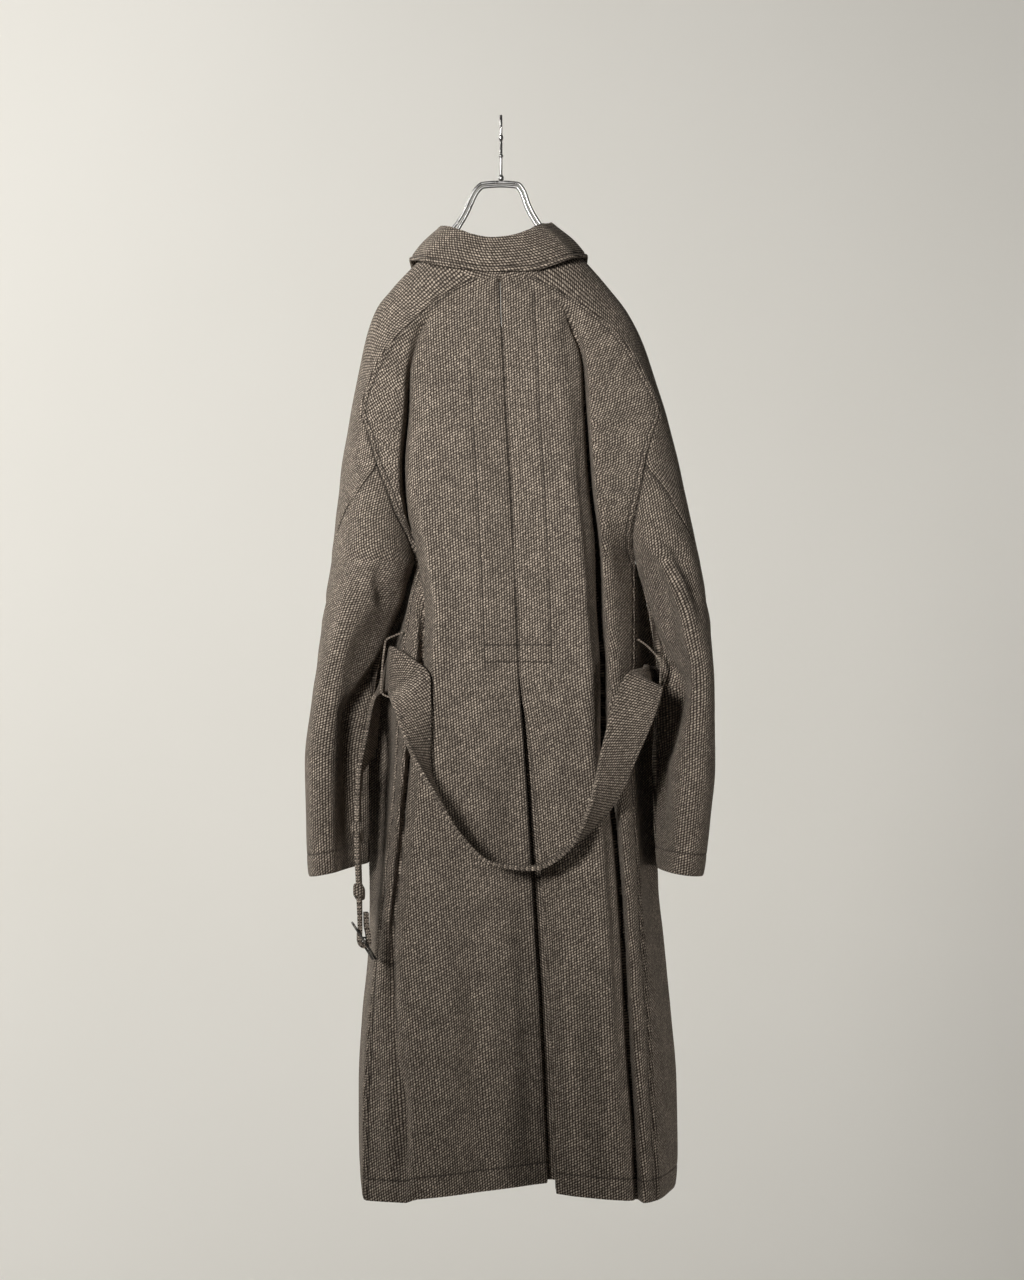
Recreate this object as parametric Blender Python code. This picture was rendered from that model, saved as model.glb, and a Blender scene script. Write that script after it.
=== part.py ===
"""Balmacaan coat on a wire hanger, in metres, +Z up.

The coat hangs with its back towards -Y. The origin is where the hanger's hook bears on its rail.
Tables give sizes in millimetres, one row for each level, and are read between rows along smooth curves.
Left and right are the wearer's: left is -X.
"""
import math

import bmesh
import bpy
import numpy as np
from mathutils import Matrix

# Driving sizes in millimetres
COAT_WALL = 2.5
COLLAR_WALL = 3.0
BELT_THICK = 5.4
BELT_WIDTH = 50.0
SEAM_GAP = 0.3
NECK_GAP = 1.0
UNDERARM_Z = -533.0
ELBOW_TOP_Z = -422.0
PLEAT_TOP_Z = -664.0
CUFF_Z = -908.0
CUFF_LIFT_TOP = -740.0
HEM_Z = -1284.0
FOLD_IN = 12.0
FOLD_OUT = {"left": 13.0, "right": 14.0}
BROW = 3.0
BROW_DROP = 0.4
DEEP_FOLD = 28.0
ARM_PARTING = 0.4
ARM_PARTING_RUN = 24.0
PAST_SEAM = 0.35
FRONT_NECK_DROP = 48.0
NECK_DROP_FOOT = -357.0
NECK_DROP_RUN = 160.0
FRONT_FOLD_X = 104.0
FRONT_FOLD_TOP = -240.0
FRONT_FOLD_RUN = 60.0
LAP_OVER = 38.0
LAP_UNDER = 20.0
LAP_STEP = 4.0
PLEAT_DEPTH = 36.0
PLEAT_LAYER = 6.5
PLEAT_OVERLAP = 14.0
PLEAT_FOLD = ((0.94, 1.0), (1.06, 1.5), (0.94, 2.0))
HEM_LIFT = {"left": 12.0, "right": 9.0}
CUFF_LIFT = {"left": 14.0, "right": 8.0}
OUT = {"left": -1.0, "right": 1.0}
MM = 0.001

# Levels of the sections, from the neck down
UPPER_LEVELS = (-197, -210, -222, -236, -258, -282, -313, -335, -357, -382, -422, -449, -478, -502, -518,
                -533)
LOWER_LEVELS = (-555, -585, -627, -664, -700, -745, -790, -835, -880, -930, -985, -1045, -1105, -1165, -1225,
                -1284)
SLEEVE_LEVELS = (-555, -579, -610, -645, -680, -715, -755, -800, -850, -885, -908)

# Back panels: centre edge, crest beside the deep fold, fold bottom, outer lip, side seam
BACK_COLUMNS = ("z", "centre_x", "centre_y", "lobe_y", "fold_x", "fold_y", "lip_y", "side_x", "side_y")
BACK_ROWS = {
    "left": (
        (-197, -1, -62, -62, -20, -62, -62, -28, -62),
        (-236, 0, -66, -66, -72, -65, -64, -90, -63),
        (-258, 1, -68, -69, -93, -57, -63, -112, -62),
        (-313, 4, -71, -76, -102, -46, -67, -153, -57),
        (-357, 6, -73, -80, -104, -38, -70, -166, -55),
        (-422, 10, -75, -84, -109, -33, -72, -146, -67),
        (-478, 13, -77, -87, -106, -28, -56, -124, -56),
        (-502, 14, -78, -88, -102, -31, -34, -112, -37),
        (-518, 15, -78, -89, -99, -27, -24, -106, -22),
        (-533, 16, -79, -90, -97, -22, -10, -102, 0),
        (-585, 18, -81, -92, -86, -30, -32, -110, -14),
        (-664, 21, -83, -92, -87, -40, -62, -121, -28),
        (-764, 28, -78, -92, -102, -50, -70, -125, -38),
        (-880, 35, -68, -95, -112, -62, -76, -135, -52),
        (-1000, 42, -57, -100, -122, -76, -84, -147, -64),
        (-1100, 48, -50, -106, -121, -92, -89, -156, -74),
        (-1190, 52, -44, -112, -114, -105, -99, -161, -82),
        (-1284, 56, -37, -118, -110, -117, -108, -160, -88),
    ),
    "right": (
        (-197, -1, -62, -62, 24, -62, -62, 36, -62),
        (-222, 0, -65, -65, 62, -64, -64, 84, -63),
        (-236, 0, -66, -67, 78, -61, -63, 105, -63),
        (-258, 1, -68, -70, 83, -57, -64, 131, -61),
        (-288, 3, -70, -74, 90, -50, -66, 155, -58),
        (-357, 6, -73, -80, 94, -40, -70, 189, -55),
        (-447, 12, -76, -86, 100, -28, -70, 165, -67),
        (-511, 15, -78, -90, 107, -18, -54, 156, -26),
        (-533, 16, -79, -91, 108, -18, -50, 161, 0),
        (-596, 19, -81, -93, 110, -24, -58, 162, -14),
        (-664, 21, -83, -96, 114, -34, -66, 161, -28),
        (-751, 33, -86, -98, 114, -40, -72, 156, -40),
        (-835, 41, -88, -100, 126, -48, -78, 160, -48),
        (-911, 47, -90, -103, 133, -56, -84, 164, -58),
        (-992, 52, -92, -106, 138, -62, -88, 168, -68),
        (-1100, 57, -95, -110, 143, -70, -98, 174, -78),
        (-1207, 61, -98, -114, 150, -80, -106, 180, -86),
        (-1284, 64, -100, -117, 153, -88, -112, 183, -92),
    ),
}

# Raglan shoulders: seam on the back, ridge over the arm, where the arc starts, its half depth
SHOULDER_COLUMNS = ("z", "seam_x", "ridge_x", "ridge_z", "turn", "depth")
SHOULDER_ROWS = {
    "left": (
        (-197, -28, -80, -153, 90, 62),
        (-210, -53, -95, -168, 92, 63),
        (-222, -74, -115, -189, 95, 63),
        (-236, -90, -131, -206, 100, 64),
        (-258, -112, -148, -228, 110, 66),
        (-282, -136, -160, -258, 117, 67),
        (-313, -153, -169, -298, 122, 67),
        (-357, -166, -180, -353, 125, 67),
        (-382, -158, -184, -378, 115, 67),
        (-422, -146, -191, -421, 95, 67),
        (-449, -135, -194, -449, 76, 69),
        (-478, -124, -198, -478, 54, 70),
        (-502, -112, -200, -502, 32, 70),
        (-518, -106, -202, -518, 18, 70),
        (-533, -102, -203, -533, 0, 70),
    ),
    "right": (
        (-197, 36, 76, -151, 90, 62),
        (-210, 63, 96, -168, 92, 63),
        (-222, 84, 112, -185, 96, 63),
        (-236, 105, 128, -204, 103, 64),
        (-258, 131, 152, -235, 112, 66),
        (-282, 152, 168, -266, 118, 67),
        (-313, 170, 182, -306, 123, 67),
        (-357, 189, 198, -356, 125, 67),
        (-382, 181, 205, -381, 114, 67),
        (-422, 170, 215, -421, 95, 67),
        (-449, 165, 221, -449, 76, 69),
        (-478, 159, 227, -478, 54, 70),
        (-502, 156, 232, -502, 32, 70),
        (-518, 157, 235, -518, 18, 70),
        (-533, 161, 238, -533, 0, 70),
    ),
}

# Hanging sleeves: inner and outer edge, half depth, slant of the section, hollow on its inner back side
SLEEVE_COLUMNS = ("z", "inner_x", "outer_x", "depth", "slant", "hollow")
SLEEVE_ROWS = {
    "left": (
        (-533, -102, -203, 70, 0, 0),
        (-579, -120, -211, 72, 5, 6),
        (-645, -144, -219, 74, 10, 13),
        (-699, -153, -226, 75, 14, 16),
        (-771, -159, -234, 75, 15, 17),
        (-855, -158, -233, 74, 14, 18),
        (-908, -158, -230, 72, 12, 15),
    ),
    "right": (
        (-533, 161, 238, 70, 0, 0),
        (-579, 174, 246, 73, 6, 8),
        (-617, 181, 251, 76, 11, 14),
        (-674, 188, 254, 78, 15, 18),
        (-774, 181, 256, 78, 12, 12),
        (-843, 183, 251, 77, 6, 6),
        (-908, 187, 243, 75, 0, 2),
    ),
}

# Elbow seams, as an angle round the sleeve from its inner edge, over the back, to its outer edge
ELBOW_COLUMNS = ("z", "left", "right")
ELBOW_ROWS = (
    (-422, 95, 95),
    (-449, 117, 114),
    (-478, 140, 129),
    (-502, 158, 147),
    (-533, 176, 170),
    (-600, 186, 184),
    (-908, 190, 190),
)

# Fronts, the hidden side: depth of crest, fold and centre, then the outermost edge of each side and how far
# the cloth is tucked in behind it, where the sleeve lies
FRONT_COLUMNS = ("z", "lobe_y", "fold_y", "centre_y")
FRONT_ROWS = (
    (-197, 62, 62, 62),
    (-300, 69, 66, 70),
    (-420, 75, 62, 76),
    (-533, 79, 46, 80),
    (-664, 83, 54, 84),
    (-880, 90, 70, 92),
    (-1100, 98, 86, 101),
    (-1284, 106, 96, 110),
)
EDGE_COLUMNS = ("z", "left", "right", "y", "tuck")
EDGE_ROWS = (
    (-533, -104, 163, 27, 0.4),
    (-541, -110, 167.5, 37, 0.6),
    (-555, -118, 172.5, 42, 0.8),
    (-585, -131, 179, 46, 1.0),
    (-645, -153, 190, 57, 1.0),
    (-699, -161, 192, 60, 1.0),
    (-772, -166, 189, 60, 1.0),
    (-868, -163, 190, 56, 0.9),
    (-925, -160, 191, 50, 0.6),
    (-990, -161, 198, 44, 0.2),
    (-1080, -168, 206, 34, 0.0),
    (-1163, -172, 212, 30, 0.0),
    (-1244, -171, 213, 26, 0.0),
    (-1284, -168, 210, 24, 0.0),
)

# Collar, from the left front end round the back to the right front end: neck, fold and fall edge
COLLAR_COLUMNS = ("s", "neck_x", "neck_y", "neck_z", "fold_x", "fold_y", "fold_z",
                  "fall_x", "fall_y", "fall_z")
COLLAR_ROWS = (
    (0, -4, 65, -243, -5, 72, -214, -34, 100, -282),
    (1, -52, 50, -200, -52, 56, -168, -92, 84, -230),
    (2, -80, 2, -150, -72, 2, -131, -110, 12, -171),
    (2.5, -76, -24, -157.5, -69, -18, -133, -101, -26, -174),
    (3, -66, -42, -174, -62, -38, -136, -88, -58, -180),
    (4, -32, -61, -196.5, -36, -55, -146, -50, -68, -188),
    (5, -4, -62, -197, -10, -58, -151, -10, -70, -192),
    (6, 32, -61, -197, 22, -54, -146, 36, -69, -191),
    (7, 64, -44, -174, 48, -38, -133, 82, -58, -176),
    (7.5, 73, -24, -156.5, 56, -18, -130, 95, -28, -171),
    (8, 77, 2, -150, 61, 2, -127, 104, 6, -168),
    (9, 52, 50, -200, 50, 56, -168, 92, 84, -230),
    (10, 4, 65, -243, 5, 72, -214, 34, 100, -282),
)

COLLAR_STEPS = 30
NECK_MIDDLE = (0.0, 8.0)
ROLL = 3.2
ROLL_DROP = 3.0
FALL_SWELL = 3.5

# Belt, from the buckle up through the left loop, down in the swag, up through the right loop to the plain end
BELT_COLUMNS = ("near_x", "near_y", "near_z", "far_x", "far_y", "far_z")
BELT_ROWS = (
    (-163, -137, -966, -165, -87, -967),
    (-165.5, -130, -915, -165.5, -80, -915),
    (-168, -114, -850, -168, -64, -850),
    (-167, -95, -790, -167, -45, -790),
    (-161, -64, -745, -151, -18, -757),
    (-151, -19, -694, -147, 31, -694),
    (-144, -20, -690, -137, 15, -655),
    (-137, -24, -689, -132, -24, -639),
    (-132, -48, -684, -129, -46, -634),
    (-131, -76, -692, -108, -74, -646),
    (-126, -108, -704, -82, -99, -672),
    (-116, -130, -730, -82, -101, -716),
    (-101, -142, -764, -84, -102, -768),
    (-75, -150, -808, -72, -102, -812),
    (-47, -152, -853, -47, -104, -856),
    (-8, -150, -886, -8, -102, -888),
    (38, -150, -891, 38, -102, -893),
    (79, -152, -867, 79, -106, -869),
    (104, -148, -812, 132, -109, -818),
    (117, -134, -754, 164, -112, -752),
    (130, -118, -706, 180, -106, -716),
    (149, -98, -665, 190, -90, -684),
    (168, -64, -659, 186, -60, -705),
    (174, -38, -657, 181, -36, -706),
    (173, 6, -656, 176, 6, -706),
    (181, 34, -658, 182, 34, -708),
    (197, 62, -662, 197, 60, -712),
    (186, 84, -668, 184, 84, -718),
    (152, 93, -674, 158, 91, -724),
    (122, 94, -704, 153, 92, -744),
    (112, 93, -770, 162, 90, -770),
    (112, 95, -880, 162, 91, -880),
    (115, 102, -1090, 165, 98, -1090),
)

# Buckle: flat frame with a centre bar, leaning on the folded end of the belt
BAR = (-159.5, -112.0, -977.5)
BAR_WAY = (-0.0721, 0.9963, -0.0468)
BAR_HALF = 1.6
FRAME_HEIGHT = 50.0
FRAME_WIDTH = 64.0
FRAME_RAIL = 4.5
FRAME_THICK = 2.8
FRAME_TILT = math.radians(33.0)
FOLD_INNER = 2.6
FOLD_TAIL = 33.0
TAIL_LEAN = 3.2
SLOT_HALF = 4.0
PRONG_EYE = 4.6
PRONG_HOLE = 2.7
PRONG_HALF = 1.3
PRONG_WIDTH = 3.6

# Keepers round the hanging end: level, height along the belt
KEEPER_ROWS = {"belt_keeper_upper": (-852, 13), "belt_keeper_lower": (-921, 15)}
KEEPER_WALL = 2.6
KEEPER_ROOM = 0.6

# Side loops: level of the top, drop, strap width and thickness, stand-off from the side seam, place behind it
LOOP_TOP_Z = {"left": -618.0, "right": -626.0}
LOOP_DROP = {"left": 78.0, "right": 90.0}
LOOP_SHOULDER = {"left": 11.0, "right": 32.0}
LOOP_WIDTH = 9.0
LOOP_THICK = 2.2
LOOP_REACH = {"left": 20.5, "right": 29.0}
LOOP_FOOT = 1.6
LOOP_BEHIND = 4.0

# Hanger: wire radii, hook over a rail, arch and arms of the upper wire, spacing of the lower wire below it
WIRE = 2.0
HOOK_WIRE = 1.7
HOOK_RADIUS = 13.7
BEAD_SWELL = 1.6
SHAFT_Z = -68.7
BEAD_Z = -46.0
TIP_Z = -27.0
FERRULE_TOP = -69.0
FERRULE_FOOT = -75.2
FERRULE_RADIUS = 3.4
UPPER_WIRE = ((-134, -220), (-112, -195), (-91, -173), (-76, -157), (-60, -136), (-46, -116), (-31, -86),
              (-22, -79), (0, -77.5), (20, -79), (27, -86), (35, -107), (48, -129), (70, -156), (91, -174),
              (108, -191), (130, -218))
WIRE_SPACING = 4.5
WIRE_SPREAD = 0.12
LEG_X = 46.0

# Colours
CLOTH = (0.115, 0.093, 0.073)
CHROME = (0.72, 0.72, 0.72)
DARK_METAL = (0.06, 0.055, 0.05)


def gentle_slopes(keys, values):
    """Slopes of a smooth curve through the values that never overshoots them."""
    rises = np.diff(values, axis=0) / np.diff(keys).reshape((-1,) + (1,) * (values.ndim - 1))
    slopes = np.zeros(values.shape)
    same_way = rises[:-1] * rises[1:] > 0
    both = np.where(same_way, rises[:-1] + rises[1:], 1.0)
    slopes[1:-1] = np.where(same_way, 2 * rises[:-1] * rises[1:] / both, 0.0)
    slopes[0] = rises[0]
    slopes[-1] = rises[-1]
    return slopes


def between(keys, values, slopes, i, t):
    """Value a share t of the way from key i to the next."""
    span = keys[i + 1] - keys[i]
    start = values[i] * (1 + 2 * t) + slopes[i] * span * t
    end = values[i + 1] * (3 - 2 * t) - slopes[i + 1] * span * (1 - t)
    return start * (1 - t) ** 2 + end * t ** 2


class Table:
    """Sizes by level, read between the rows along a smooth curve."""

    def __init__(self, columns, rows):
        ordered = sorted(rows)
        self.keys = np.array([row[0] for row in ordered], float)
        self.values = {name: np.array([row[i] for row in ordered], float) for i, name in enumerate(columns)}
        self.slopes = {name: gentle_slopes(self.keys, values) for name, values in self.values.items()}

    def at(self, name, key):
        key = min(max(key, self.keys[0]), self.keys[-1])
        i = int(np.clip(np.searchsorted(self.keys, key) - 1, 0, len(self.keys) - 2))
        t = (key - self.keys[i]) / (self.keys[i + 1] - self.keys[i])
        return between(self.keys, self.values[name], self.slopes[name], i, t)


BACK = {side: Table(BACK_COLUMNS, rows) for side, rows in BACK_ROWS.items()}
SHOULDER = {side: Table(SHOULDER_COLUMNS, rows) for side, rows in SHOULDER_ROWS.items()}
SLEEVE = {side: Table(SLEEVE_COLUMNS, rows) for side, rows in SLEEVE_ROWS.items()}
ELBOW = Table(ELBOW_COLUMNS, ELBOW_ROWS)
FRONT = Table(FRONT_COLUMNS, FRONT_ROWS)
EDGE = Table(EDGE_COLUMNS, EDGE_ROWS)
COLLAR = Table(COLLAR_COLUMNS, COLLAR_ROWS)


def through(stations, steps):
    """Points on a smooth curve through the stations, with so many steps between each pair."""
    points = np.array(stations, float)
    chords = np.linalg.norm(np.diff(points, axis=0), axis=1)
    keys = np.concatenate(([0.0], np.cumsum(np.sqrt(chords) + 1e-6)))
    slopes = gentle_slopes(keys, points)
    result = []
    for i, count in enumerate(steps):
        result += [between(keys, points, slopes, i, t) for t in np.arange(count) / count]
    result.append(points[len(steps)])
    return np.array(result)


def unit(vectors):
    return vectors / np.maximum(np.linalg.norm(vectors, axis=-1, keepdims=True), 1e-9)


def front_level(z):
    """Level on the front of the section that is at z on the back: the neck is lower in front."""
    fade = max(0.0, (z - NECK_DROP_FOOT) / NECK_DROP_RUN)
    return z - FRONT_NECK_DROP * fade ** 0.7


# Sections

def arm_parting(side, z):
    """Sideways step of the sleeve away from the body at the foot of the armhole."""
    return OUT[side] * ARM_PARTING * max(0.0, 1.0 - abs(z - UNDERARM_Z) / ARM_PARTING_RUN)


def sleeve_point(side, z, angle):
    """Point of the shoulder or sleeve section: angle 0 is its inner edge, a quarter turn its back."""
    out = OUT[side]
    parting = arm_parting(side, z)
    if z >= UNDERARM_Z:
        table = SHOULDER[side]
        turn = math.radians(table.at("turn", z))
        half = (table.at("ridge_x", z) - table.at("seam_x", z)) / (1 + math.cos(turn))
        middle = table.at("ridge_x", z) - half
        x = middle - half * math.cos(angle) + parting
        y = -table.at("depth", z) * math.sin(angle)
        share = (angle - turn) / (2 * (math.pi - turn))
        ridge = 0.5 - 0.5 * math.cos(2 * math.pi * share)
        foot = z if share < 0.5 else front_level(z)
        return np.array((x, y, foot + (table.at("ridge_z", z) - foot) * ridge))
    table = SLEEVE[side]
    inner = table.at("inner_x", z)
    outer = table.at("outer_x", z)
    slant = table.at("slant", z)
    half = 0.5 * abs(outer - inner)
    dent = table.at("hollow", z) * 2.6 * max(0.0, math.sin(angle)) * max(0.0, math.cos(angle)) ** 2
    x = 0.5 * (inner + outer) + parting + out * (slant * math.sin(angle) ** 2 + dent - half * math.cos(angle))
    y = -table.at("depth", z) * math.sin(angle)
    fade = min(1.0, max(0.0, (z - CUFF_LIFT_TOP) / (CUFF_Z - CUFF_LIFT_TOP)))
    lift = CUFF_LIFT[side] * fade ** 2 * (outer - x) / (outer - inner)
    return np.array((x, y, z + lift))


def seam_turn(side, z):
    """Angle where the shoulder or sleeve section meets the back: none below the underarm."""
    return math.radians(SHOULDER[side].at("turn", z)) if z > UNDERARM_Z else 0.0


def armhole_point(side, z, angle):
    """Body's edge of the armhole: beside the sleeve's edge, and parted from it at the foot."""
    return sleeve_point(side, z, angle) - np.array((2 * arm_parting(side, z), 0.0, 0.0))


def back_stations(side, z):
    """Centre, middle, crest, brow, fold, lip and side seam of a back, and the next point past it."""
    table = BACK[side]
    out = OUT[side]
    centre = np.array((table.at("centre_x", z), table.at("centre_y", z), z))
    if z >= UNDERARM_Z:
        seam = armhole_point(side, z, seam_turn(side, z))
        past = sleeve_point(side, z, seam_turn(side, z) + PAST_SEAM)
        past[2] = z
    else:
        seam = np.array((table.at("side_x", z), table.at("side_y", z), z))
        past = np.array((EDGE.at(side, z), EDGE.at("y", z), z))
    fold_x = table.at("fold_x", z)
    room = abs(seam[0] - fold_x)
    crest_step = min(FOLD_IN, 0.4 * abs(fold_x - centre[0]))
    lobe_y = table.at("lobe_y", z)
    depth = table.at("fold_y", z) - lobe_y
    deep = min(1.0, max(0.0, depth / DEEP_FOLD))
    lip_step = min(FOLD_OUT[side], 0.5 * room)
    crest = np.array((fold_x - out * crest_step, lobe_y, z))
    hang = min(BROW, 0.35 * lip_step) * deep - 0.4 * crest_step * (1.0 - deep)
    brow = np.array((fold_x + out * hang, lobe_y + BROW_DROP * depth, z))
    fold = np.array((fold_x + out * (hang + 0.3 * (lip_step - hang)) * deep, lobe_y + depth, z))
    lip = np.array((fold_x + out * lip_step, table.at("lip_y", z), z))
    middle = 0.5 * (centre + crest) - np.array((0.0, 4.0, 0.0))
    return [centre, middle, crest, brow, fold, lip, seam, past]


def back_row(side, z, steps):
    points = through(back_stations(side, z), steps)
    lift = max(0.0, (PLEAT_TOP_Z - z) / (PLEAT_TOP_Z - HEM_Z)) ** 2
    share = np.linspace(1.0, 0.0, len(points))
    points[:, 2] += HEM_LIFT[side] * lift * share ** 2
    return points


def front_row(side, z, steps):
    """Front section from the lapped centre edge to the armhole or side seam."""
    out = OUT[side]
    level = front_level(z)
    over = side == "left"
    step = LAP_STEP if over else -LAP_STEP
    if z >= UNDERARM_Z:
        seam = armhole_point(side, z, 2 * math.pi - seam_turn(side, z))
        past = sleeve_point(side, z, 2 * math.pi - seam_turn(side, z) - PAST_SEAM)
        seam[2] = level
        past[2] = level
    else:
        seam = back_stations(side, z)[6]
        past = back_stations(side, z)[5]
    reach = abs(seam[0])
    lap_x = min(LAP_OVER if over else LAP_UNDER, 0.55 * reach)
    centre = np.array((-out * lap_x, FRONT.at("centre_y", z) + step, level))
    fold_x = out * min(FRONT_FOLD_X, 0.62 * reach)
    crest = np.array((fold_x - out * min(FOLD_IN, 0.2 * reach), FRONT.at("lobe_y", z), level))
    deep = min(1.0, max(0.0, (FRONT_FOLD_TOP - z) / FRONT_FOLD_RUN))
    fold_y = FRONT.at("lobe_y", z) + deep * (FRONT.at("fold_y", z) - FRONT.at("lobe_y", z))
    fold = np.array((fold_x, fold_y, level))
    if z >= UNDERARM_Z:
        edge = 0.5 * (fold + seam) + np.array((0.0, min(2.0, 0.05 * abs(seam[0] - fold[0])), 0.0))
        tuck = 0.5 * (edge + seam)
    else:
        edge = np.array((EDGE.at(side, z), EDGE.at("y", z), level))
        deep_in = EDGE.at("tuck", z)
        tuck = seam + (edge - seam) * (0.66 - 0.42 * deep_in, 0.5 + 0.14 * deep_in, 0.5)
    lap = np.array((0.0, FRONT.at("centre_y", z) + step, level))
    return through([centre, lap, crest, fold, edge, tuck, seam, past], steps)


# Walls

def run(points, axis):
    """Direction along a grid at each of its points, halfway between the steps on either side."""
    steps = unit(np.diff(points, axis=axis))
    last = np.take(steps, [-1], axis=axis)
    first = np.take(steps, [0], axis=axis)
    return unit(np.concatenate((first, steps), axis=axis) + np.concatenate((steps, last), axis=axis))


class Panel:
    """Grid of outer points with the directions that point out of the cloth."""

    def __init__(self, rows, facing):
        self.points = np.array(rows, float)
        self.normals = unit(np.cross(run(self.points, 1), run(self.points, 0))) * facing

    def pull(self, edge, gap=SEAM_GAP):
        """Draw an edge back from its seam by half the gap."""
        rows, columns = self.points.shape[:2]
        for i, j in edge:
            step_i = 1 if i == 0 else -1 if i == rows - 1 else 0
            step_j = 1 if j == 0 else -1 if j == columns - 1 else 0
            inward = self.points[i, j + step_j] - self.points[i, j] if step_j else 0.0
            if not step_j:
                inward = self.points[i + step_i, j] - self.points[i, j]
            self.points[i, j] += 0.5 * gap * unit(inward)


def column(panel, j, first=0, last=None):
    rows = range(len(panel.points))[first:last]
    return [(i, j % panel.points.shape[1]) for i in rows]


def sew(panel_a, edge_a, panel_b, edge_b):
    """Let two edges of a seam share their directions, and leave the seam's gap between them."""
    for (i, j), (k, m) in zip(edge_a, edge_b):
        shared = unit(panel_a.normals[i, j] + panel_b.normals[k, m])
        panel_a.normals[i, j] = shared
        panel_b.normals[k, m] = shared
    panel_a.pull(edge_a)
    panel_b.pull(edge_b)


def wall(name, panel, thick, material, collection, above=0.0, keep=None):
    """Close a panel into a wall of cloth: part of its thickness lies above the grid, the rest below."""
    rows, columns = panel.points.shape[:2]
    upper = (panel.points + panel.normals * thick * above) * MM
    lower = (panel.points - panel.normals * thick * (1.0 - above)) * MM
    mesh = bpy.data.meshes.new(name)
    build = bmesh.new()
    top = [[build.verts.new(p) for p in row] for row in upper]
    under = [[build.verts.new(p) for p in row] for row in lower]
    used = {}
    for i in range(rows - 1):
        for j in range(columns - 1):
            if keep and not keep(i, j):
                continue
            cell = ((i, j), (i, j + 1), (i + 1, j + 1), (i + 1, j))
            corners = [panel.points[a, b] for a, b in cell]
            shorter = np.linalg.norm(corners[0] - corners[2]) <= np.linalg.norm(corners[1] - corners[3])
            for picks in ((0, 1, 2), (0, 2, 3)) if shorter else ((0, 1, 3), (1, 2, 3)):
                build.faces.new([top[cell[k][0]][cell[k][1]] for k in picks])
                build.faces.new([under[cell[k][0]][cell[k][1]] for k in reversed(picks)])
            for start, end in zip(cell, cell[1:] + cell[:1]):
                used[(start, end)] = True
    for start, end in list(used):
        if (end, start) not in used:
            build.faces.new([top[end[0]][end[1]], top[start[0]][start[1]],
                             under[start[0]][start[1]], under[end[0]][end[1]]])
    loose = [vertex for vertex in build.verts if not vertex.link_faces]
    bmesh.ops.delete(build, geom=loose, context="VERTS")
    bmesh.ops.triangulate(build, faces=build.faces)
    bmesh.ops.recalc_face_normals(build, faces=build.faces)
    if build.calc_volume(signed=True) < 0:
        bmesh.ops.reverse_faces(build, faces=build.faces)
    build.to_mesh(mesh)
    build.free()
    return place(name, mesh, material, collection)


def place(name, data, material, collection):
    data.materials.append(material)
    obj = bpy.data.objects.new(name, data)
    collection.objects.link(obj)
    return obj


def finish(name, colour, roughness, metallic):
    material = bpy.data.materials.new(name)
    material.use_nodes = True
    shader = material.node_tree.nodes["Principled BSDF"]
    shader.inputs["Base Color"].default_value = (*colour, 1.0)
    shader.inputs["Roughness"].default_value = roughness
    shader.inputs["Metallic"].default_value = metallic
    return material


def outline(name, loops, depth, frame, material, collection):
    """Flat plate from closed outlines, the first one outside and the rest holes, set in a frame of axes."""
    curve = bpy.data.curves.new(name, "CURVE")
    curve.dimensions = "2D"
    curve.fill_mode = "BOTH"
    curve.extrude = 0.5 * depth * MM
    for loop in loops:
        spline = curve.splines.new("POLY")
        spline.points.add(len(loop) - 1)
        for point, (x, y) in zip(spline.points, loop):
            point.co = (x * MM, y * MM, 0.0, 1.0)
        spline.use_cyclic_u = True
    obj = place(name, curve, material, collection)
    obj.matrix_world = frame
    return obj


def tube(name, points, radius, material, collection, swells=None):
    """Round wire along the points, with its ends closed."""
    curve = bpy.data.curves.new(name, "CURVE")
    curve.dimensions = "3D"
    curve.bevel_depth = radius * MM
    curve.bevel_resolution = 2
    curve.use_fill_caps = True
    spline = curve.splines.new("POLY")
    spline.points.add(len(points) - 1)
    for i, point in enumerate(points):
        spline.points[i].co = (*(np.array(point) * MM), 1.0)
        spline.points[i].radius = swells[i] if swells else 1.0
    return place(name, curve, material, collection)


def axes(x_axis, y_axis, origin):
    """Frame of axes at an origin in millimetres."""
    x_axis = unit(np.array(x_axis, float))
    y_axis = unit(np.array(y_axis, float))
    z_axis = np.cross(x_axis, y_axis)
    matrix = np.identity(4)
    matrix[:3, 0] = x_axis
    matrix[:3, 1] = y_axis
    matrix[:3, 2] = z_axis
    matrix[:3, 3] = np.array(origin) * MM
    return Matrix(matrix.tolist())


def rounded(half_x, half_y, radius, centre_x=0.0):
    """Rectangle with rounded corners, anticlockwise."""
    points = []
    for quarter, (sign_x, sign_y) in enumerate(((1, 1), (-1, 1), (-1, -1), (1, -1))):
        for step in range(3):
            angle = math.radians(90 * quarter + 45 * step)
            points.append((centre_x + sign_x * (half_x - radius) + radius * math.cos(angle),
                           sign_y * (half_y - radius) + radius * math.sin(angle)))
    return points


# Coat panels

BACK_STEPS = (3, 3, 2, 3, 3, 3)
FRONT_STEPS = (1, 2, 2, 3, 2, 2)
TOP_STEPS = 13
UNDER_STEPS = 9
ELBOW_ROW = UPPER_LEVELS.index(int(ELBOW_TOP_Z))
ARM_ROW = len(UPPER_LEVELS) - 1
PLEAT_ROW = ARM_ROW + 1 + LOWER_LEVELS.index(int(PLEAT_TOP_Z))


def elbow_turn(side, z):
    """Angle of the elbow seam; it starts on the armhole with a narrow point."""
    return max(math.radians(ELBOW.at(side, z)), seam_turn(side, z) + 0.07)


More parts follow.
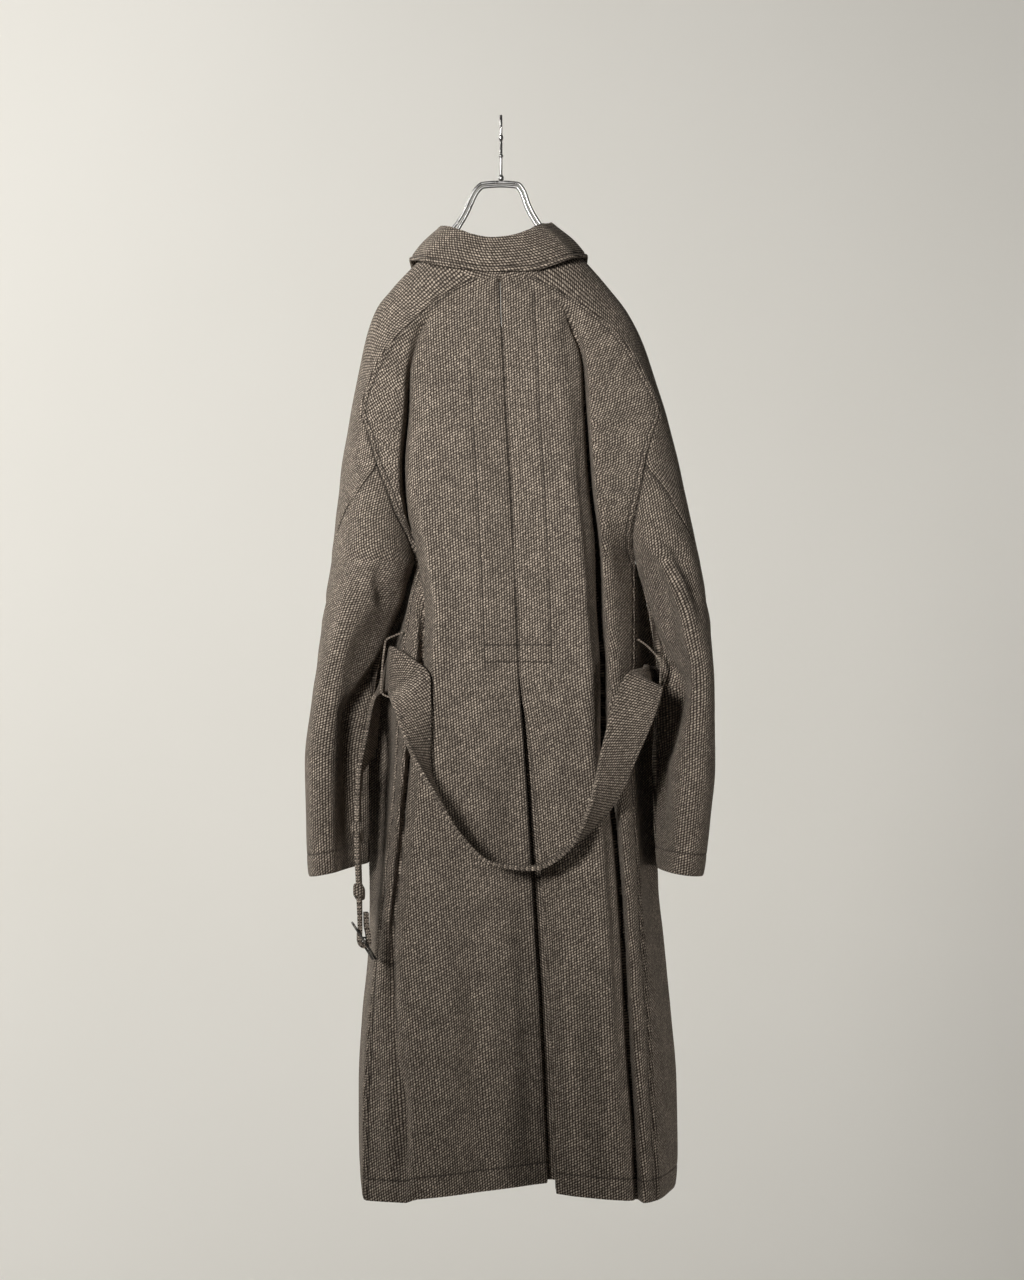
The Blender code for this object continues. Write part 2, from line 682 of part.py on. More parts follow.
def coat_panels(side):
    """Back, front, top sleeve and back sleeve of one side, as grids that share their seams."""
    facing = OUT[side]
    levels = UPPER_LEVELS + LOWER_LEVELS
    arm_levels = UPPER_LEVELS + SLEEVE_LEVELS
    back = Panel([back_row(side, z, BACK_STEPS) for z in levels], -facing)
    front = Panel([front_row(side, z, FRONT_STEPS) for z in levels], facing)
    top_rows = []
    under_rows = []
    for z in arm_levels:
        start = seam_turn(side, z)
        split = elbow_turn(side, z) if z <= ELBOW_TOP_Z else start
        end = 2 * math.pi - start
        top_rows.append([sleeve_point(side, z, a) for a in np.linspace(split, end, TOP_STEPS + 1)])
        if z <= ELBOW_TOP_Z:
            under_rows.append([sleeve_point(side, z, a) for a in np.linspace(start, split, UNDER_STEPS + 1)])
    top = Panel(top_rows, -facing)
    under = Panel(under_rows, -facing)
    return back, front, top, under


def sew_side(back, front, top, under):
    """Seams of one side: raglan, armhole, side, underarm and elbow."""
    sew(back, column(back, -1, 0, ELBOW_ROW), top, column(top, 0, 0, ELBOW_ROW))
    sew(back, column(back, -1, ELBOW_ROW, ARM_ROW), under, column(under, 0, 0, ARM_ROW - ELBOW_ROW))
    sew(front, column(front, -1, 0, ARM_ROW), top, column(top, -1, 0, ARM_ROW))
    sew(back, column(back, -1, ARM_ROW), front, column(front, -1, ARM_ROW))
    sew(under, column(under, 0, ARM_ROW - ELBOW_ROW), top, column(top, -1, ARM_ROW))
    sew(under, column(under, -1), top, column(top, 0, ELBOW_ROW))


def pleat_rows():
    """Sections of the cloth inside the pleat: out behind one back, across, and back to the other."""
    rows = []
    below = LOWER_LEVELS.index(int(PLEAT_TOP_Z)) + 1
    for z in (PLEAT_TOP_Z + PLEAT_OVERLAP, *LOWER_LEVELS[below:-1], HEM_Z + PLEAT_OVERLAP):
        left = back_stations("left", z)
        right = back_stations("right", z)
        rise_left = (left[1][1] - left[0][1]) / (left[1][0] - left[0][0])
        rise_right = (right[1][1] - right[0][1]) / (right[1][0] - right[0][0])
        section = [(left[0][0] - 1.0, left[0][1] + PLEAT_LAYER, z)]
        for reach, layer in PLEAT_FOLD:
            x = -PLEAT_DEPTH * reach
            section.append((left[0][0] + x, left[0][1] + rise_left * x + layer * PLEAT_LAYER, z))
        inside = max(left[0][1], right[0][1]) + 2 * PLEAT_LAYER + 1.0
        section.append((0.5 * (left[0][0] + right[0][0]), inside, z))
        for reach, layer in reversed(PLEAT_FOLD):
            x = PLEAT_DEPTH * reach
            section.append((right[0][0] + x, right[0][1] + rise_right * x + layer * PLEAT_LAYER, z))
        section.append((right[0][0] + 1.0, right[0][1] + PLEAT_LAYER, z))
        rows.append(through(section, (2, 1, 1, 2, 2, 1, 1, 2)))
    return rows


def collar_rows():
    """Sections of the collar: up the stand, over the fold and down the fall."""
    rows = []
    for s in np.linspace(0.0, COLLAR_ROWS[-1][0], COLLAR_STEPS + 1):
        neck, fold, fall = (np.array([COLLAR.at(f"{part}_{axis}", s) for axis in "xyz"])
                            for part in ("neck", "fold", "fall"))
        away = np.append(unit(fold[:2] - NECK_MIDDLE), 0.0)
        neck[2] += NECK_GAP
        drop = np.array((0.0, 0.0, ROLL_DROP))
        stations = [neck, 0.5 * (neck + fold) - away, fold - ROLL * away - drop, fold,
                    fold + ROLL * away - drop, 0.5 * (fold + fall) + FALL_SWELL * away, fall]
        rows.append(through(stations, (1, 1, 2, 2, 1, 2)))
    return rows


# Belt

def belt_frame(z):
    """Middle and slope of the hanging end at a level."""
    rows = sorted((row[2], 0.5 * (row[0] + row[3]), 0.5 * (row[1] + row[4])) for row in BELT_ROWS[:4])
    hanging = Table(("z", "x", "y"), rows)
    slope = (hanging.at("y", z + 5.0) - hanging.at("y", z - 5.0)) / 10.0
    return np.array((hanging.at("x", z), hanging.at("y", z), z)), slope


def belt_panel():
    """The whole strip: folded tail, turn round the bar, and the belt's own rows."""
    turn = FOLD_INNER + 0.5 * BELT_THICK
    reach = 0.5 * BELT_WIDTH * unit(np.array(BAR_WAY))
    tail = [(TAIL_LEAN - 0.6, FOLD_TAIL), (TAIL_LEAN - 0.4, 18.0), (turn - 0.5, 7.0)]
    arc = [(turn * math.cos(a), turn * math.sin(a)) for a in np.radians(np.arange(0, -181, -30))]
    leg = [(-turn, 7.0)]
    rows = []
    for x, z in tail + arc + leg:
        place = np.array(BAR) + (x, 0.0, z)
        rows.append((*(place - reach), *(place + reach)))
    steps = (1,) * (len(rows) - 1) + (1,) + (2,) * (len(BELT_ROWS) - 1)
    edges = through(rows + list(BELT_ROWS), steps)
    slot = SLOT_HALF / BELT_WIDTH
    shares = np.array((0.0, 0.5 - slot, 0.5 + slot, 1.0))
    near = edges[:, None, :3]
    far = edges[:, None, 3:]
    panel = Panel(near + (far - near) * shares[None, :, None], 1.0)
    first = len(tail) - 1
    last = len(tail) + len(arc)

    def keep(i, j):
        return not (j == 1 and first <= i < last)

    return panel, keep


def keeper(name, level, height, material, collection):
    middle, slope = belt_frame(level)
    along = unit(np.array((0.0, slope, 1.0)))
    across = np.cross(along, (1.0, 0.0, 0.0))
    room_x = 0.5 * BELT_THICK + KEEPER_ROOM
    room_y = 0.5 * BELT_WIDTH + KEEPER_ROOM
    loops = (rounded(room_x + KEEPER_WALL, room_y + KEEPER_WALL, 2.5), rounded(room_x, room_y, 0.8))
    return outline(name, loops, height, axes((1.0, 0.0, 0.0), across, middle), material, collection)


def belt_loop(side, material, collection):
    """Strap sewn to the side seam at its two ends, standing out round the belt."""
    out = OUT[side]
    reach = LOOP_REACH[side]
    drop_whole = LOOP_DROP[side]
    shoulder = LOOP_SHOULDER[side]
    profile = ((LOOP_FOOT, 0.0), (0.5 * reach, 0.3 * shoulder), (reach, shoulder), (reach, drop_whole - 9.0),
               (0.6 * reach, drop_whole - 2.0), (LOOP_FOOT, drop_whole))
    rows = []
    for stand, drop in through([(a, 0.0, b) for a, b in profile], (2, 2, 3, 2, 2))[:, (0, 2)]:
        z = LOOP_TOP_Z[side] - drop
        seam = back_stations(side, z)[6]
        x = seam[0] + out * stand
        y = seam[1] - LOOP_BEHIND
        rows.append([(x, y - 0.5 * LOOP_WIDTH, z), (x, y + 0.5 * LOOP_WIDTH, z)])
    return wall(f"belt_loop_{side}", Panel(rows, 1.0), LOOP_THICK, material, collection, above=0.5)


# Buckle

def buckle(material, collection):
    along = (math.sin(FRAME_TILT), 0.0, -math.cos(FRAME_TILT))
    front = -np.cross(along, unit(np.array(BAR_WAY)))
    half_x = 0.5 * FRAME_HEIGHT
    half_y = 0.5 * FRAME_WIDTH
    hole = 0.5 * (half_x - FRAME_RAIL - BAR_HALF)
    centre = BAR_HALF + hole
    loops = [rounded(half_x, half_y, 6.0)]
    loops += [rounded(hole, half_y - FRAME_RAIL, 2.0, sign * centre) for sign in (1, -1)]
    outline("buckle_frame", loops, FRAME_THICK, axes(along, BAR_WAY, BAR), material, collection)
    low = 0.5 * FRAME_THICK + SEAM_GAP
    high = low + 2 * PRONG_HALF
    first = math.asin(high / PRONG_EYE)
    last = 2 * math.pi + math.asin(low / PRONG_EYE)
    eye = [(PRONG_EYE * math.cos(a), PRONG_EYE * math.sin(a)) for a in np.linspace(first, last, 13)]
    tip = half_x - 0.4
    shape = eye + [(tip, low), (tip, high - 0.9), (tip - 1.2, high)]
    turns = np.linspace(0, 2 * math.pi, 13)[:-1]
    hole_loop = [(PRONG_HOLE * math.cos(a), PRONG_HOLE * math.sin(a)) for a in turns]
    outline("buckle_prong", (shape, hole_loop), PRONG_WIDTH, axes(along, front, BAR), material, collection)


# Hanger

def hanger(material, collection):
    upper = through([(x, 0.0, z) for x, z in UPPER_WIRE], (2,) * (len(UPPER_WIRE) - 1))
    tube("hanger_upper_wire", upper, WIRE, material, collection)
    run = unit(np.gradient(upper, axis=0))
    below = np.stack((run[:, 2], np.zeros(len(run)), -run[:, 0]), axis=1)
    spacing = WIRE_SPACING + WIRE_SPREAD * np.maximum(0.0, np.abs(upper[:, 0]) - LEG_X)
    tube("hanger_lower_wire", upper + below * spacing[:, None], WIRE, material, collection)
    bpy.ops.mesh.primitive_cylinder_add(vertices=16, radius=FERRULE_RADIUS * MM,
                                        depth=(FERRULE_TOP - FERRULE_FOOT) * MM,
                                        location=(0.0, 0.0, 0.5 * (FERRULE_TOP + FERRULE_FOOT) * MM))
    ferrule = bpy.context.object
    ferrule.name = "hanger_ferrule"
    ferrule.data.materials.append(material)
    for other in list(ferrule.users_collection):
        other.objects.unlink(ferrule)
    collection.objects.link(ferrule)
    crown = HOOK_WIRE - HOOK_RADIUS
    shaft = [(0, 0, SHAFT_Z), (0, 0, BEAD_Z - 3), (0, 0, BEAD_Z), (0, 0, BEAD_Z + 3), (0, 6, -32)]
    bend = [(0, HOOK_RADIUS * math.cos(a), crown + HOOK_RADIUS * math.sin(a))
            for a in np.radians(np.arange(-20, 181, 20))]
    end = [(0, -HOOK_RADIUS + 0.3, TIP_Z + 5), (0, -HOOK_RADIUS + 0.6, TIP_Z + 2),
           (0, -HOOK_RADIUS + 0.8, TIP_Z), (0, -HOOK_RADIUS + 1.0, TIP_Z - 2.5)]
    swells = [1, 1, BEAD_SWELL, 1, 1] + [1] * len(bend) + [1, BEAD_SWELL, BEAD_SWELL, 1]
    tube("hanger_hook", shaft + bend + end, HOOK_WIRE, material, collection, swells)


def main():
    for obj in list(bpy.data.objects):
        bpy.data.objects.remove(obj)
    coat = bpy.data.collections.new("balmacaan_coat_on_hanger")
    bpy.context.scene.collection.children.link(coat)
    cloth = finish("tweed", CLOTH, 0.92, 0.0)
    chrome = finish("chrome", CHROME, 0.15, 1.0)
    dark = finish("dark_metal", DARK_METAL, 0.35, 1.0)

    panels = {side: coat_panels(side) for side in OUT}
    for side in OUT:
        sew_side(*panels[side])
    sew(panels["left"][0], column(panels["left"][0], 0, 0, PLEAT_ROW + 1),
        panels["right"][0], column(panels["right"][0], 0, 0, PLEAT_ROW + 1))
    for side in OUT:
        back, front, top, under = panels[side]
        wall(f"back_{side}", back, COAT_WALL, cloth, coat)
        wall(f"front_{side}", front, COAT_WALL, cloth, coat)
        wall(f"sleeve_{side}_top", top, COAT_WALL, cloth, coat)
        wall(f"sleeve_{side}_back", under, COAT_WALL, cloth, coat)
        belt_loop(side, cloth, coat)
    wall("pleat_underlay", Panel(pleat_rows(), 1.0), COAT_WALL, cloth, coat, above=0.5)
    wall("collar", Panel(collar_rows(), 1.0), COLLAR_WALL, cloth, coat, above=0.5)
    belt, keep = belt_panel()
    wall("belt", belt, BELT_THICK, cloth, coat, above=0.5, keep=keep)
    for name, (level, height) in KEEPER_ROWS.items():
        keeper(name, level, height, cloth, coat)
    buckle(dark, coat)
    hanger(chrome, coat)


main()
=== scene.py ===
import math

import bpy
import numpy as np
from mathutils import Matrix


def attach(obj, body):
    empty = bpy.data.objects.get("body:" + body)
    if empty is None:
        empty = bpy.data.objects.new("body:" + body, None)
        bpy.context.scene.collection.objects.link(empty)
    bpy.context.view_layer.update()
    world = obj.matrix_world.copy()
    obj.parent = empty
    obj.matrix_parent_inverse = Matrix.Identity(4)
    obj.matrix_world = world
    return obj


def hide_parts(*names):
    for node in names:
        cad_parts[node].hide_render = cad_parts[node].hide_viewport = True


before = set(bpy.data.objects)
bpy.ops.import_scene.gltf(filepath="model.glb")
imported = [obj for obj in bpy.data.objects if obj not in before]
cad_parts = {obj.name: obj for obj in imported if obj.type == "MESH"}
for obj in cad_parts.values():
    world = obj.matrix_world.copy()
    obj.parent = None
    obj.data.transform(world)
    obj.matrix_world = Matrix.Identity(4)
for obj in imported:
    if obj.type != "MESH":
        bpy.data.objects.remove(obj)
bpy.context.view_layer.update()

# Driving sizes in millimetres
COLLAR_WALL = 3.0
BELT_THICK = 5.4
BELT_WIDTH = 50.0
SEAM_GAP = 0.3
NECK_GAP = 1.0
UNDERARM_Z = -533.0
ELBOW_TOP_Z = -422.0
PLEAT_TOP_Z = -664.0
CUFF_Z = -908.0
CUFF_LIFT_TOP = -740.0
HEM_Z = -1284.0
FOLD_IN = 12.0
FOLD_OUT = {"left": 13.0, "right": 14.0}
BROW = 3.0
BROW_DROP = 0.4
DEEP_FOLD = 28.0
ARM_PARTING = 0.4
ARM_PARTING_RUN = 24.0
PAST_SEAM = 0.35
FRONT_NECK_DROP = 48.0
NECK_DROP_FOOT = -357.0
NECK_DROP_RUN = 160.0
FRONT_FOLD_X = 104.0
FRONT_FOLD_TOP = -240.0
FRONT_FOLD_RUN = 60.0
LAP_OVER = 38.0
LAP_UNDER = 20.0
LAP_STEP = 4.0
PLEAT_DEPTH = 36.0
PLEAT_LAYER = 6.5
PLEAT_OVERLAP = 14.0
PLEAT_FOLD = ((0.94, 1.0), (1.06, 1.5), (0.94, 2.0))
HEM_LIFT = {"left": 12.0, "right": 9.0}
CUFF_LIFT = {"left": 14.0, "right": 8.0}
HOLLOW_GAIN = 2.6
BACK_SWELL = 4.0
ELBOW_POINT = 0.07
SLOPE_STEP = 5.0
OUT = {"left": -1.0, "right": 1.0}
MM = 0.001

# Levels of the sections, from the neck down
UPPER_LEVELS = (-197, -210, -222, -236, -258, -282, -313, -335, -357, -382, -422, -449, -478, -502, -518,
                -533)
LOWER_LEVELS = (-555, -585, -627, -664, -700, -745, -790, -835, -880, -930, -985, -1045, -1105, -1165, -1225,
                -1284)
SLEEVE_LEVELS = (-555, -579, -610, -645, -680, -715, -755, -800, -850, -885, -908)

# Back panels: centre edge, crest beside the deep fold, fold bottom, outer lip, side seam
BACK_COLUMNS = ("z", "centre_x", "centre_y", "lobe_y", "fold_x", "fold_y", "lip_y", "side_x", "side_y")
BACK_ROWS = {
    "left": (
        (-197, -1, -62, -62, -20, -62, -62, -28, -62),
        (-236, 0, -66, -66, -72, -65, -64, -90, -63),
        (-258, 1, -68, -69, -93, -57, -63, -112, -62),
        (-313, 4, -71, -76, -102, -46, -67, -153, -57),
        (-357, 6, -73, -80, -104, -38, -70, -166, -55),
        (-422, 10, -75, -84, -109, -33, -72, -146, -67),
        (-478, 13, -77, -87, -106, -28, -56, -124, -56),
        (-502, 14, -78, -88, -102, -31, -34, -112, -37),
        (-518, 15, -78, -89, -99, -27, -24, -106, -22),
        (-533, 16, -79, -90, -97, -22, -10, -102, 0),
        (-585, 18, -81, -92, -86, -30, -32, -110, -14),
        (-664, 21, -83, -92, -87, -40, -62, -121, -28),
        (-764, 28, -78, -92, -102, -50, -70, -125, -38),
        (-880, 35, -68, -95, -112, -62, -76, -135, -52),
        (-1000, 42, -57, -100, -122, -76, -84, -147, -64),
        (-1100, 48, -50, -106, -121, -92, -89, -156, -74),
        (-1190, 52, -44, -112, -114, -105, -99, -161, -82),
        (-1284, 56, -37, -118, -110, -117, -108, -160, -88),
    ),
    "right": (
        (-197, -1, -62, -62, 24, -62, -62, 36, -62),
        (-222, 0, -65, -65, 62, -64, -64, 84, -63),
        (-236, 0, -66, -67, 78, -61, -63, 105, -63),
        (-258, 1, -68, -70, 83, -57, -64, 131, -61),
        (-288, 3, -70, -74, 90, -50, -66, 155, -58),
        (-357, 6, -73, -80, 94, -40, -70, 189, -55),
        (-447, 12, -76, -86, 100, -28, -70, 165, -67),
        (-511, 15, -78, -90, 107, -18, -54, 156, -26),
        (-533, 16, -79, -91, 108, -18, -50, 161, 0),
        (-596, 19, -81, -93, 110, -24, -58, 162, -14),
        (-664, 21, -83, -96, 114, -34, -66, 161, -28),
        (-751, 33, -86, -98, 114, -40, -72, 156, -40),
        (-835, 41, -88, -100, 126, -48, -78, 160, -48),
        (-911, 47, -90, -103, 133, -56, -84, 164, -58),
        (-992, 52, -92, -106, 138, -62, -88, 168, -68),
        (-1100, 57, -95, -110, 143, -70, -98, 174, -78),
        (-1207, 61, -98, -114, 150, -80, -106, 180, -86),
        (-1284, 64, -100, -117, 153, -88, -112, 183, -92),
    ),
}

# Raglan shoulders: seam on the back, ridge over the arm, where the arc starts, its half depth
SHOULDER_COLUMNS = ("z", "seam_x", "ridge_x", "ridge_z", "turn", "depth")
SHOULDER_ROWS = {
    "left": (
        (-197, -28, -80, -153, 90, 62),
        (-210, -53, -95, -168, 92, 63),
        (-222, -74, -115, -189, 95, 63),
        (-236, -90, -131, -206, 100, 64),
        (-258, -112, -148, -228, 110, 66),
        (-282, -136, -160, -258, 117, 67),
        (-313, -153, -169, -298, 122, 67),
        (-357, -166, -180, -353, 125, 67),
        (-382, -158, -184, -378, 115, 67),
        (-422, -146, -191, -421, 95, 67),
        (-449, -135, -194, -449, 76, 69),
        (-478, -124, -198, -478, 54, 70),
        (-502, -112, -200, -502, 32, 70),
        (-518, -106, -202, -518, 18, 70),
        (-533, -102, -203, -533, 0, 70),
    ),
    "right": (
        (-197, 36, 76, -151, 90, 62),
        (-210, 63, 96, -168, 92, 63),
        (-222, 84, 112, -185, 96, 63),
        (-236, 105, 128, -204, 103, 64),
        (-258, 131, 152, -235, 112, 66),
        (-282, 152, 168, -266, 118, 67),
        (-313, 170, 182, -306, 123, 67),
        (-357, 189, 198, -356, 125, 67),
        (-382, 181, 205, -381, 114, 67),
        (-422, 170, 215, -421, 95, 67),
        (-449, 165, 221, -449, 76, 69),
        (-478, 159, 227, -478, 54, 70),
        (-502, 156, 232, -502, 32, 70),
        (-518, 157, 235, -518, 18, 70),
        (-533, 161, 238, -533, 0, 70),
    ),
}

# Hanging sleeves: inner and outer edge, half depth, slant of the section, hollow on its inner back side
SLEEVE_COLUMNS = ("z", "inner_x", "outer_x", "depth", "slant", "hollow")
SLEEVE_ROWS = {
    "left": (
        (-533, -102, -203, 70, 0, 0),
        (-579, -120, -211, 72, 5, 6),
        (-645, -144, -219, 74, 10, 13),
        (-699, -153, -226, 75, 14, 16),
        (-771, -159, -234, 75, 15, 17),
        (-855, -158, -233, 74, 14, 18),
        (-908, -158, -230, 72, 12, 15),
    ),
    "right": (
        (-533, 161, 238, 70, 0, 0),
        (-579, 174, 246, 73, 6, 8),
        (-617, 181, 251, 76, 11, 14),
        (-674, 188, 254, 78, 15, 18),
        (-774, 181, 256, 78, 12, 12),
        (-843, 183, 251, 77, 6, 6),
        (-908, 187, 243, 75, 0, 2),
    ),
}

# Elbow seams, as an angle round the sleeve from its inner edge, over the back, to its outer edge
ELBOW_COLUMNS = ("z", "left", "right")
ELBOW_ROWS = (
    (-422, 95, 95),
    (-449, 117, 114),
    (-478, 140, 129),
    (-502, 158, 147),
    (-533, 176, 170),
    (-600, 186, 184),
    (-908, 190, 190),
)

# Fronts, the hidden side: depth of crest, fold and centre, then the outermost edge of each side and how far
# the cloth is tucked in behind it, where the sleeve lies
FRONT_COLUMNS = ("z", "lobe_y", "fold_y", "centre_y")
FRONT_ROWS = (
    (-197, 62, 62, 62),
    (-300, 69, 66, 70),
    (-420, 75, 62, 76),
    (-533, 79, 46, 80),
    (-664, 83, 54, 84),
    (-880, 90, 70, 92),
    (-1100, 98, 86, 101),
    (-1284, 106, 96, 110),
)
EDGE_COLUMNS = ("z", "left", "right", "y", "tuck")
EDGE_ROWS = (
    (-533, -107, 165, 27, 0.4),
    (-541, -113.5, 170, 37, 0.6),
    (-555, -118, 172.5, 42, 0.8),
    (-585, -131, 179, 46, 1.0),
    (-645, -153, 190, 57, 1.0),
    (-699, -161, 192, 60, 1.0),
    (-772, -166, 189, 60, 1.0),
    (-868, -163, 190, 56, 0.9),
    (-925, -160, 191, 50, 0.6),
    (-990, -161, 198, 44, 0.2),
    (-1080, -168, 206, 34, 0.0),
    (-1163, -172, 212, 30, 0.0),
    (-1244, -171, 213, 26, 0.0),
    (-1284, -168, 210, 24, 0.0),
)

# Collar, from the left front end round the back to the right front end: neck, fold and fall edge
COLLAR_COLUMNS = ("s", "neck_x", "neck_y", "neck_z", "fold_x", "fold_y", "fold_z",
                  "fall_x", "fall_y", "fall_z")
COLLAR_ROWS = (
    (0, -4, 65, -243, -5, 72, -214, -34, 100, -282),
    (1, -52, 50, -200, -52, 56, -168, -92, 84, -230),
    (2, -80, 2, -150, -72, 2, -131, -110, 12, -171),
    (2.5, -76, -24, -157.5, -69, -18, -133, -101, -26, -174),
    (3, -66, -42, -174, -62, -38, -136, -88, -58, -180),
    (4, -32, -61, -196.5, -36, -55, -146, -50, -68, -188),
    (5, -4, -62, -197, -10, -58, -151, -10, -70, -192),
    (6, 32, -61, -197, 22, -54, -146, 36, -69, -191),
    (7, 64, -44, -174, 48, -38, -133, 82, -58, -176),
    (7.5, 73, -24, -156.5, 56, -18, -130, 95, -28, -171),
    (8, 77, 2, -150, 61, 2, -127, 104, 6, -168),
    (9, 52, 50, -200, 50, 56, -168, 92, 84, -230),
    (10, 4, 65, -243, 5, 72, -214, 34, 100, -282),
)

NECK_MIDDLE = (0.0, 8.0)
ROLL = 3.2
ROLL_DROP = 3.0
FALL_SWELL = 3.5

# Belt, from the buckle up through the left loop, down in the swag, up through the right loop to the plain
# end: near edge, then far edge; the shell here ends at the last row but one, the solid at the last
BELT_ROWS = (
    (-163, -137, -966, -165, -87, -967),
    (-165.5, -130, -915, -165.5, -80, -915),
    (-168, -114, -850, -168, -64, -850),
    (-167, -95, -790, -167, -45, -790),
    (-161, -64, -745, -151, -18, -757),
    (-151, -19, -694, -147, 31, -694),
    (-144, -20, -690, -137, 15, -655),
    (-137, -24, -689, -132, -24, -639),
    (-132, -48, -684, -129, -46, -634),
    (-131, -76, -692, -108, -74, -646),
    (-126, -108, -704, -82, -99, -672),
    (-116, -130, -730, -82, -101, -716),
    (-101, -142, -764, -84, -102, -768),
    (-75, -150, -808, -72, -102, -812),
    (-47, -152, -853, -47, -104, -856),
    (-8, -150, -886, -8, -102, -888),
    (38, -150, -891, 38, -102, -893),
    (79, -152, -867, 79, -106, -869),
    (104, -148, -812, 132, -109, -818),
    (117, -134, -754, 164, -112, -752),
    (130, -118, -706, 180, -106, -716),
    (149, -98, -665, 190, -90, -684),
    (168, -64, -659, 186, -60, -705),
    (174, -38, -657, 181, -36, -706),
    (173, 6, -656, 176, 6, -706),
    (181, 34, -658, 182, 34, -708),
    (197, 62, -662, 197, 60, -712),
    (186, 84, -668, 184, 84, -718),
    (152, 93, -674, 158, 91, -724),
    (122, 94, -704, 153, 92, -744),
    (112, 93, -770, 162, 90, -770),
    (112, 95, -880, 162, 91, -880),
    (115, 102, -1090, 165, 98, -1090),
)

# Buckle: flat frame with a centre bar, leaning on the folded end of the belt
BAR = (-159.5, -112.0, -977.5)
BAR_WAY = (-0.0721, 0.9963, -0.0468)
BAR_HALF = 1.6
FRAME_HEIGHT = 50.0
FRAME_WIDTH = 64.0
FRAME_RAIL = 4.5
FRAME_THICK = 2.8
FRAME_TILT = math.radians(33.0)
FOLD_INNER = 2.6
FOLD_TAIL = 33.0
TAIL_LEAN = 3.2
SLOT_HALF = 4.0
PRONG_EYE = 4.6
PRONG_HOLE = 2.7
PRONG_HALF = 1.3
PRONG_WIDTH = 3.6
FRAME_BEVEL = 0.8
PRONG_BEVEL = 0.4

# Keepers round the hanging end: level, height along the belt
KEEPER_ROWS = {"belt_keeper_upper": (-852, 13), "belt_keeper_lower": (-921, 15)}
KEEPER_WALL = 2.6
KEEPER_ROOM = 0.6

# Side loops: level of the top, drop, strap width and thickness, stand-off from the side seam, place behind it
LOOP_TOP_Z = {"left": -618.0, "right": -626.0}
LOOP_DROP = {"left": 78.0, "right": 90.0}
LOOP_SHOULDER = {"left": 11.0, "right": 32.0}
LOOP_WIDTH = 9.0
LOOP_THICK = 2.2
LOOP_REACH = {"left": 20.5, "right": 29.0}
LOOP_FOOT = 1.6
LOOP_BEHIND = 4.0

# Hanger: wire radii, hook over a rail, arch and arms of the upper wire, spacing of the lower wire below it
WIRE = 2.0
HOOK_WIRE = 1.7
HOOK_RADIUS = 13.7
BEAD_SWELL = 1.6
SHAFT_Z = -68.7
BEAD_Z = -46.0
TIP_Z = -27.0
FERRULE_TOP = -69.0
FERRULE_FOOT = -75.2
FERRULE_RADIUS = 3.4
UPPER_WIRE = ((-134, -220), (-112, -195), (-91, -173), (-76, -157), (-60, -136), (-46, -116), (-31, -86),
              (-22, -79), (0, -77.5), (20, -79), (27, -86), (35, -107), (48, -129), (70, -156), (91, -174),
              (108, -191), (130, -218))
WIRE_SPACING = 4.5
WIRE_SPREAD = 0.12
LEG_X = 46.0


def share(value):
    """Value held between nought and one."""
    return min(1.0, max(0.0, value))


def distances(points, axis=0):
    """Lengths along a curve, or along one way of a grid, from its start to each of its points."""
    steps = np.linalg.norm(np.diff(points, axis=axis), axis=-1)
    return np.insert(np.cumsum(steps, axis=axis), 0, 0.0, axis=axis)


def read_along(keys, curve, wanted):
    """Points of a curve at wanted places among its keys."""
    return np.stack([np.interp(wanted, keys, curve[:, k]) for k in range(3)], axis=-1)


def gentle_slopes(keys, values):
    """Slopes of a smooth curve through the values that never overshoots them."""
    rises = np.diff(values, axis=0) / np.diff(keys).reshape((-1,) + (1,) * (values.ndim - 1))
    slopes = np.zeros(values.shape)
    same_way = rises[:-1] * rises[1:] > 0
    both = np.where(same_way, rises[:-1] + rises[1:], 1.0)
    slopes[1:-1] = np.where(same_way, 2 * rises[:-1] * rises[1:] / both, 0.0)
    slopes[0] = rises[0]
    slopes[-1] = rises[-1]
    return slopes


def between(keys, values, slopes, i, t):
    """Value a share t of the way from key i to the next."""
    span = keys[i + 1] - keys[i]
    start = values[i] * (1 + 2 * t) + slopes[i] * span * t
    end = values[i + 1] * (3 - 2 * t) - slopes[i + 1] * span * (1 - t)
    return start * (1 - t) ** 2 + end * t ** 2


class Table:
    """Sizes by level, read between the rows along a smooth curve."""

    def __init__(self, columns, rows):
        ordered = sorted(rows)
        self.keys = np.array([row[0] for row in ordered], float)
        self.values = {name: np.array([row[i] for row in ordered], float) for i, name in enumerate(columns)}
        self.slopes = {name: gentle_slopes(self.keys, values) for name, values in self.values.items()}

    def at(self, name, key):
        key = min(max(key, self.keys[0]), self.keys[-1])
        i = int(np.clip(np.searchsorted(self.keys, key) - 1, 0, len(self.keys) - 2))
        t = (key - self.keys[i]) / (self.keys[i + 1] - self.keys[i])
        return between(self.keys, self.values[name], self.slopes[name], i, t)


BACK = {side: Table(BACK_COLUMNS, rows) for side, rows in BACK_ROWS.items()}
SHOULDER = {side: Table(SHOULDER_COLUMNS, rows) for side, rows in SHOULDER_ROWS.items()}
SLEEVE = {side: Table(SLEEVE_COLUMNS, rows) for side, rows in SLEEVE_ROWS.items()}
ELBOW = Table(ELBOW_COLUMNS, ELBOW_ROWS)
FRONT = Table(FRONT_COLUMNS, FRONT_ROWS)
EDGE = Table(EDGE_COLUMNS, EDGE_ROWS)
COLLAR = Table(COLLAR_COLUMNS, COLLAR_ROWS)


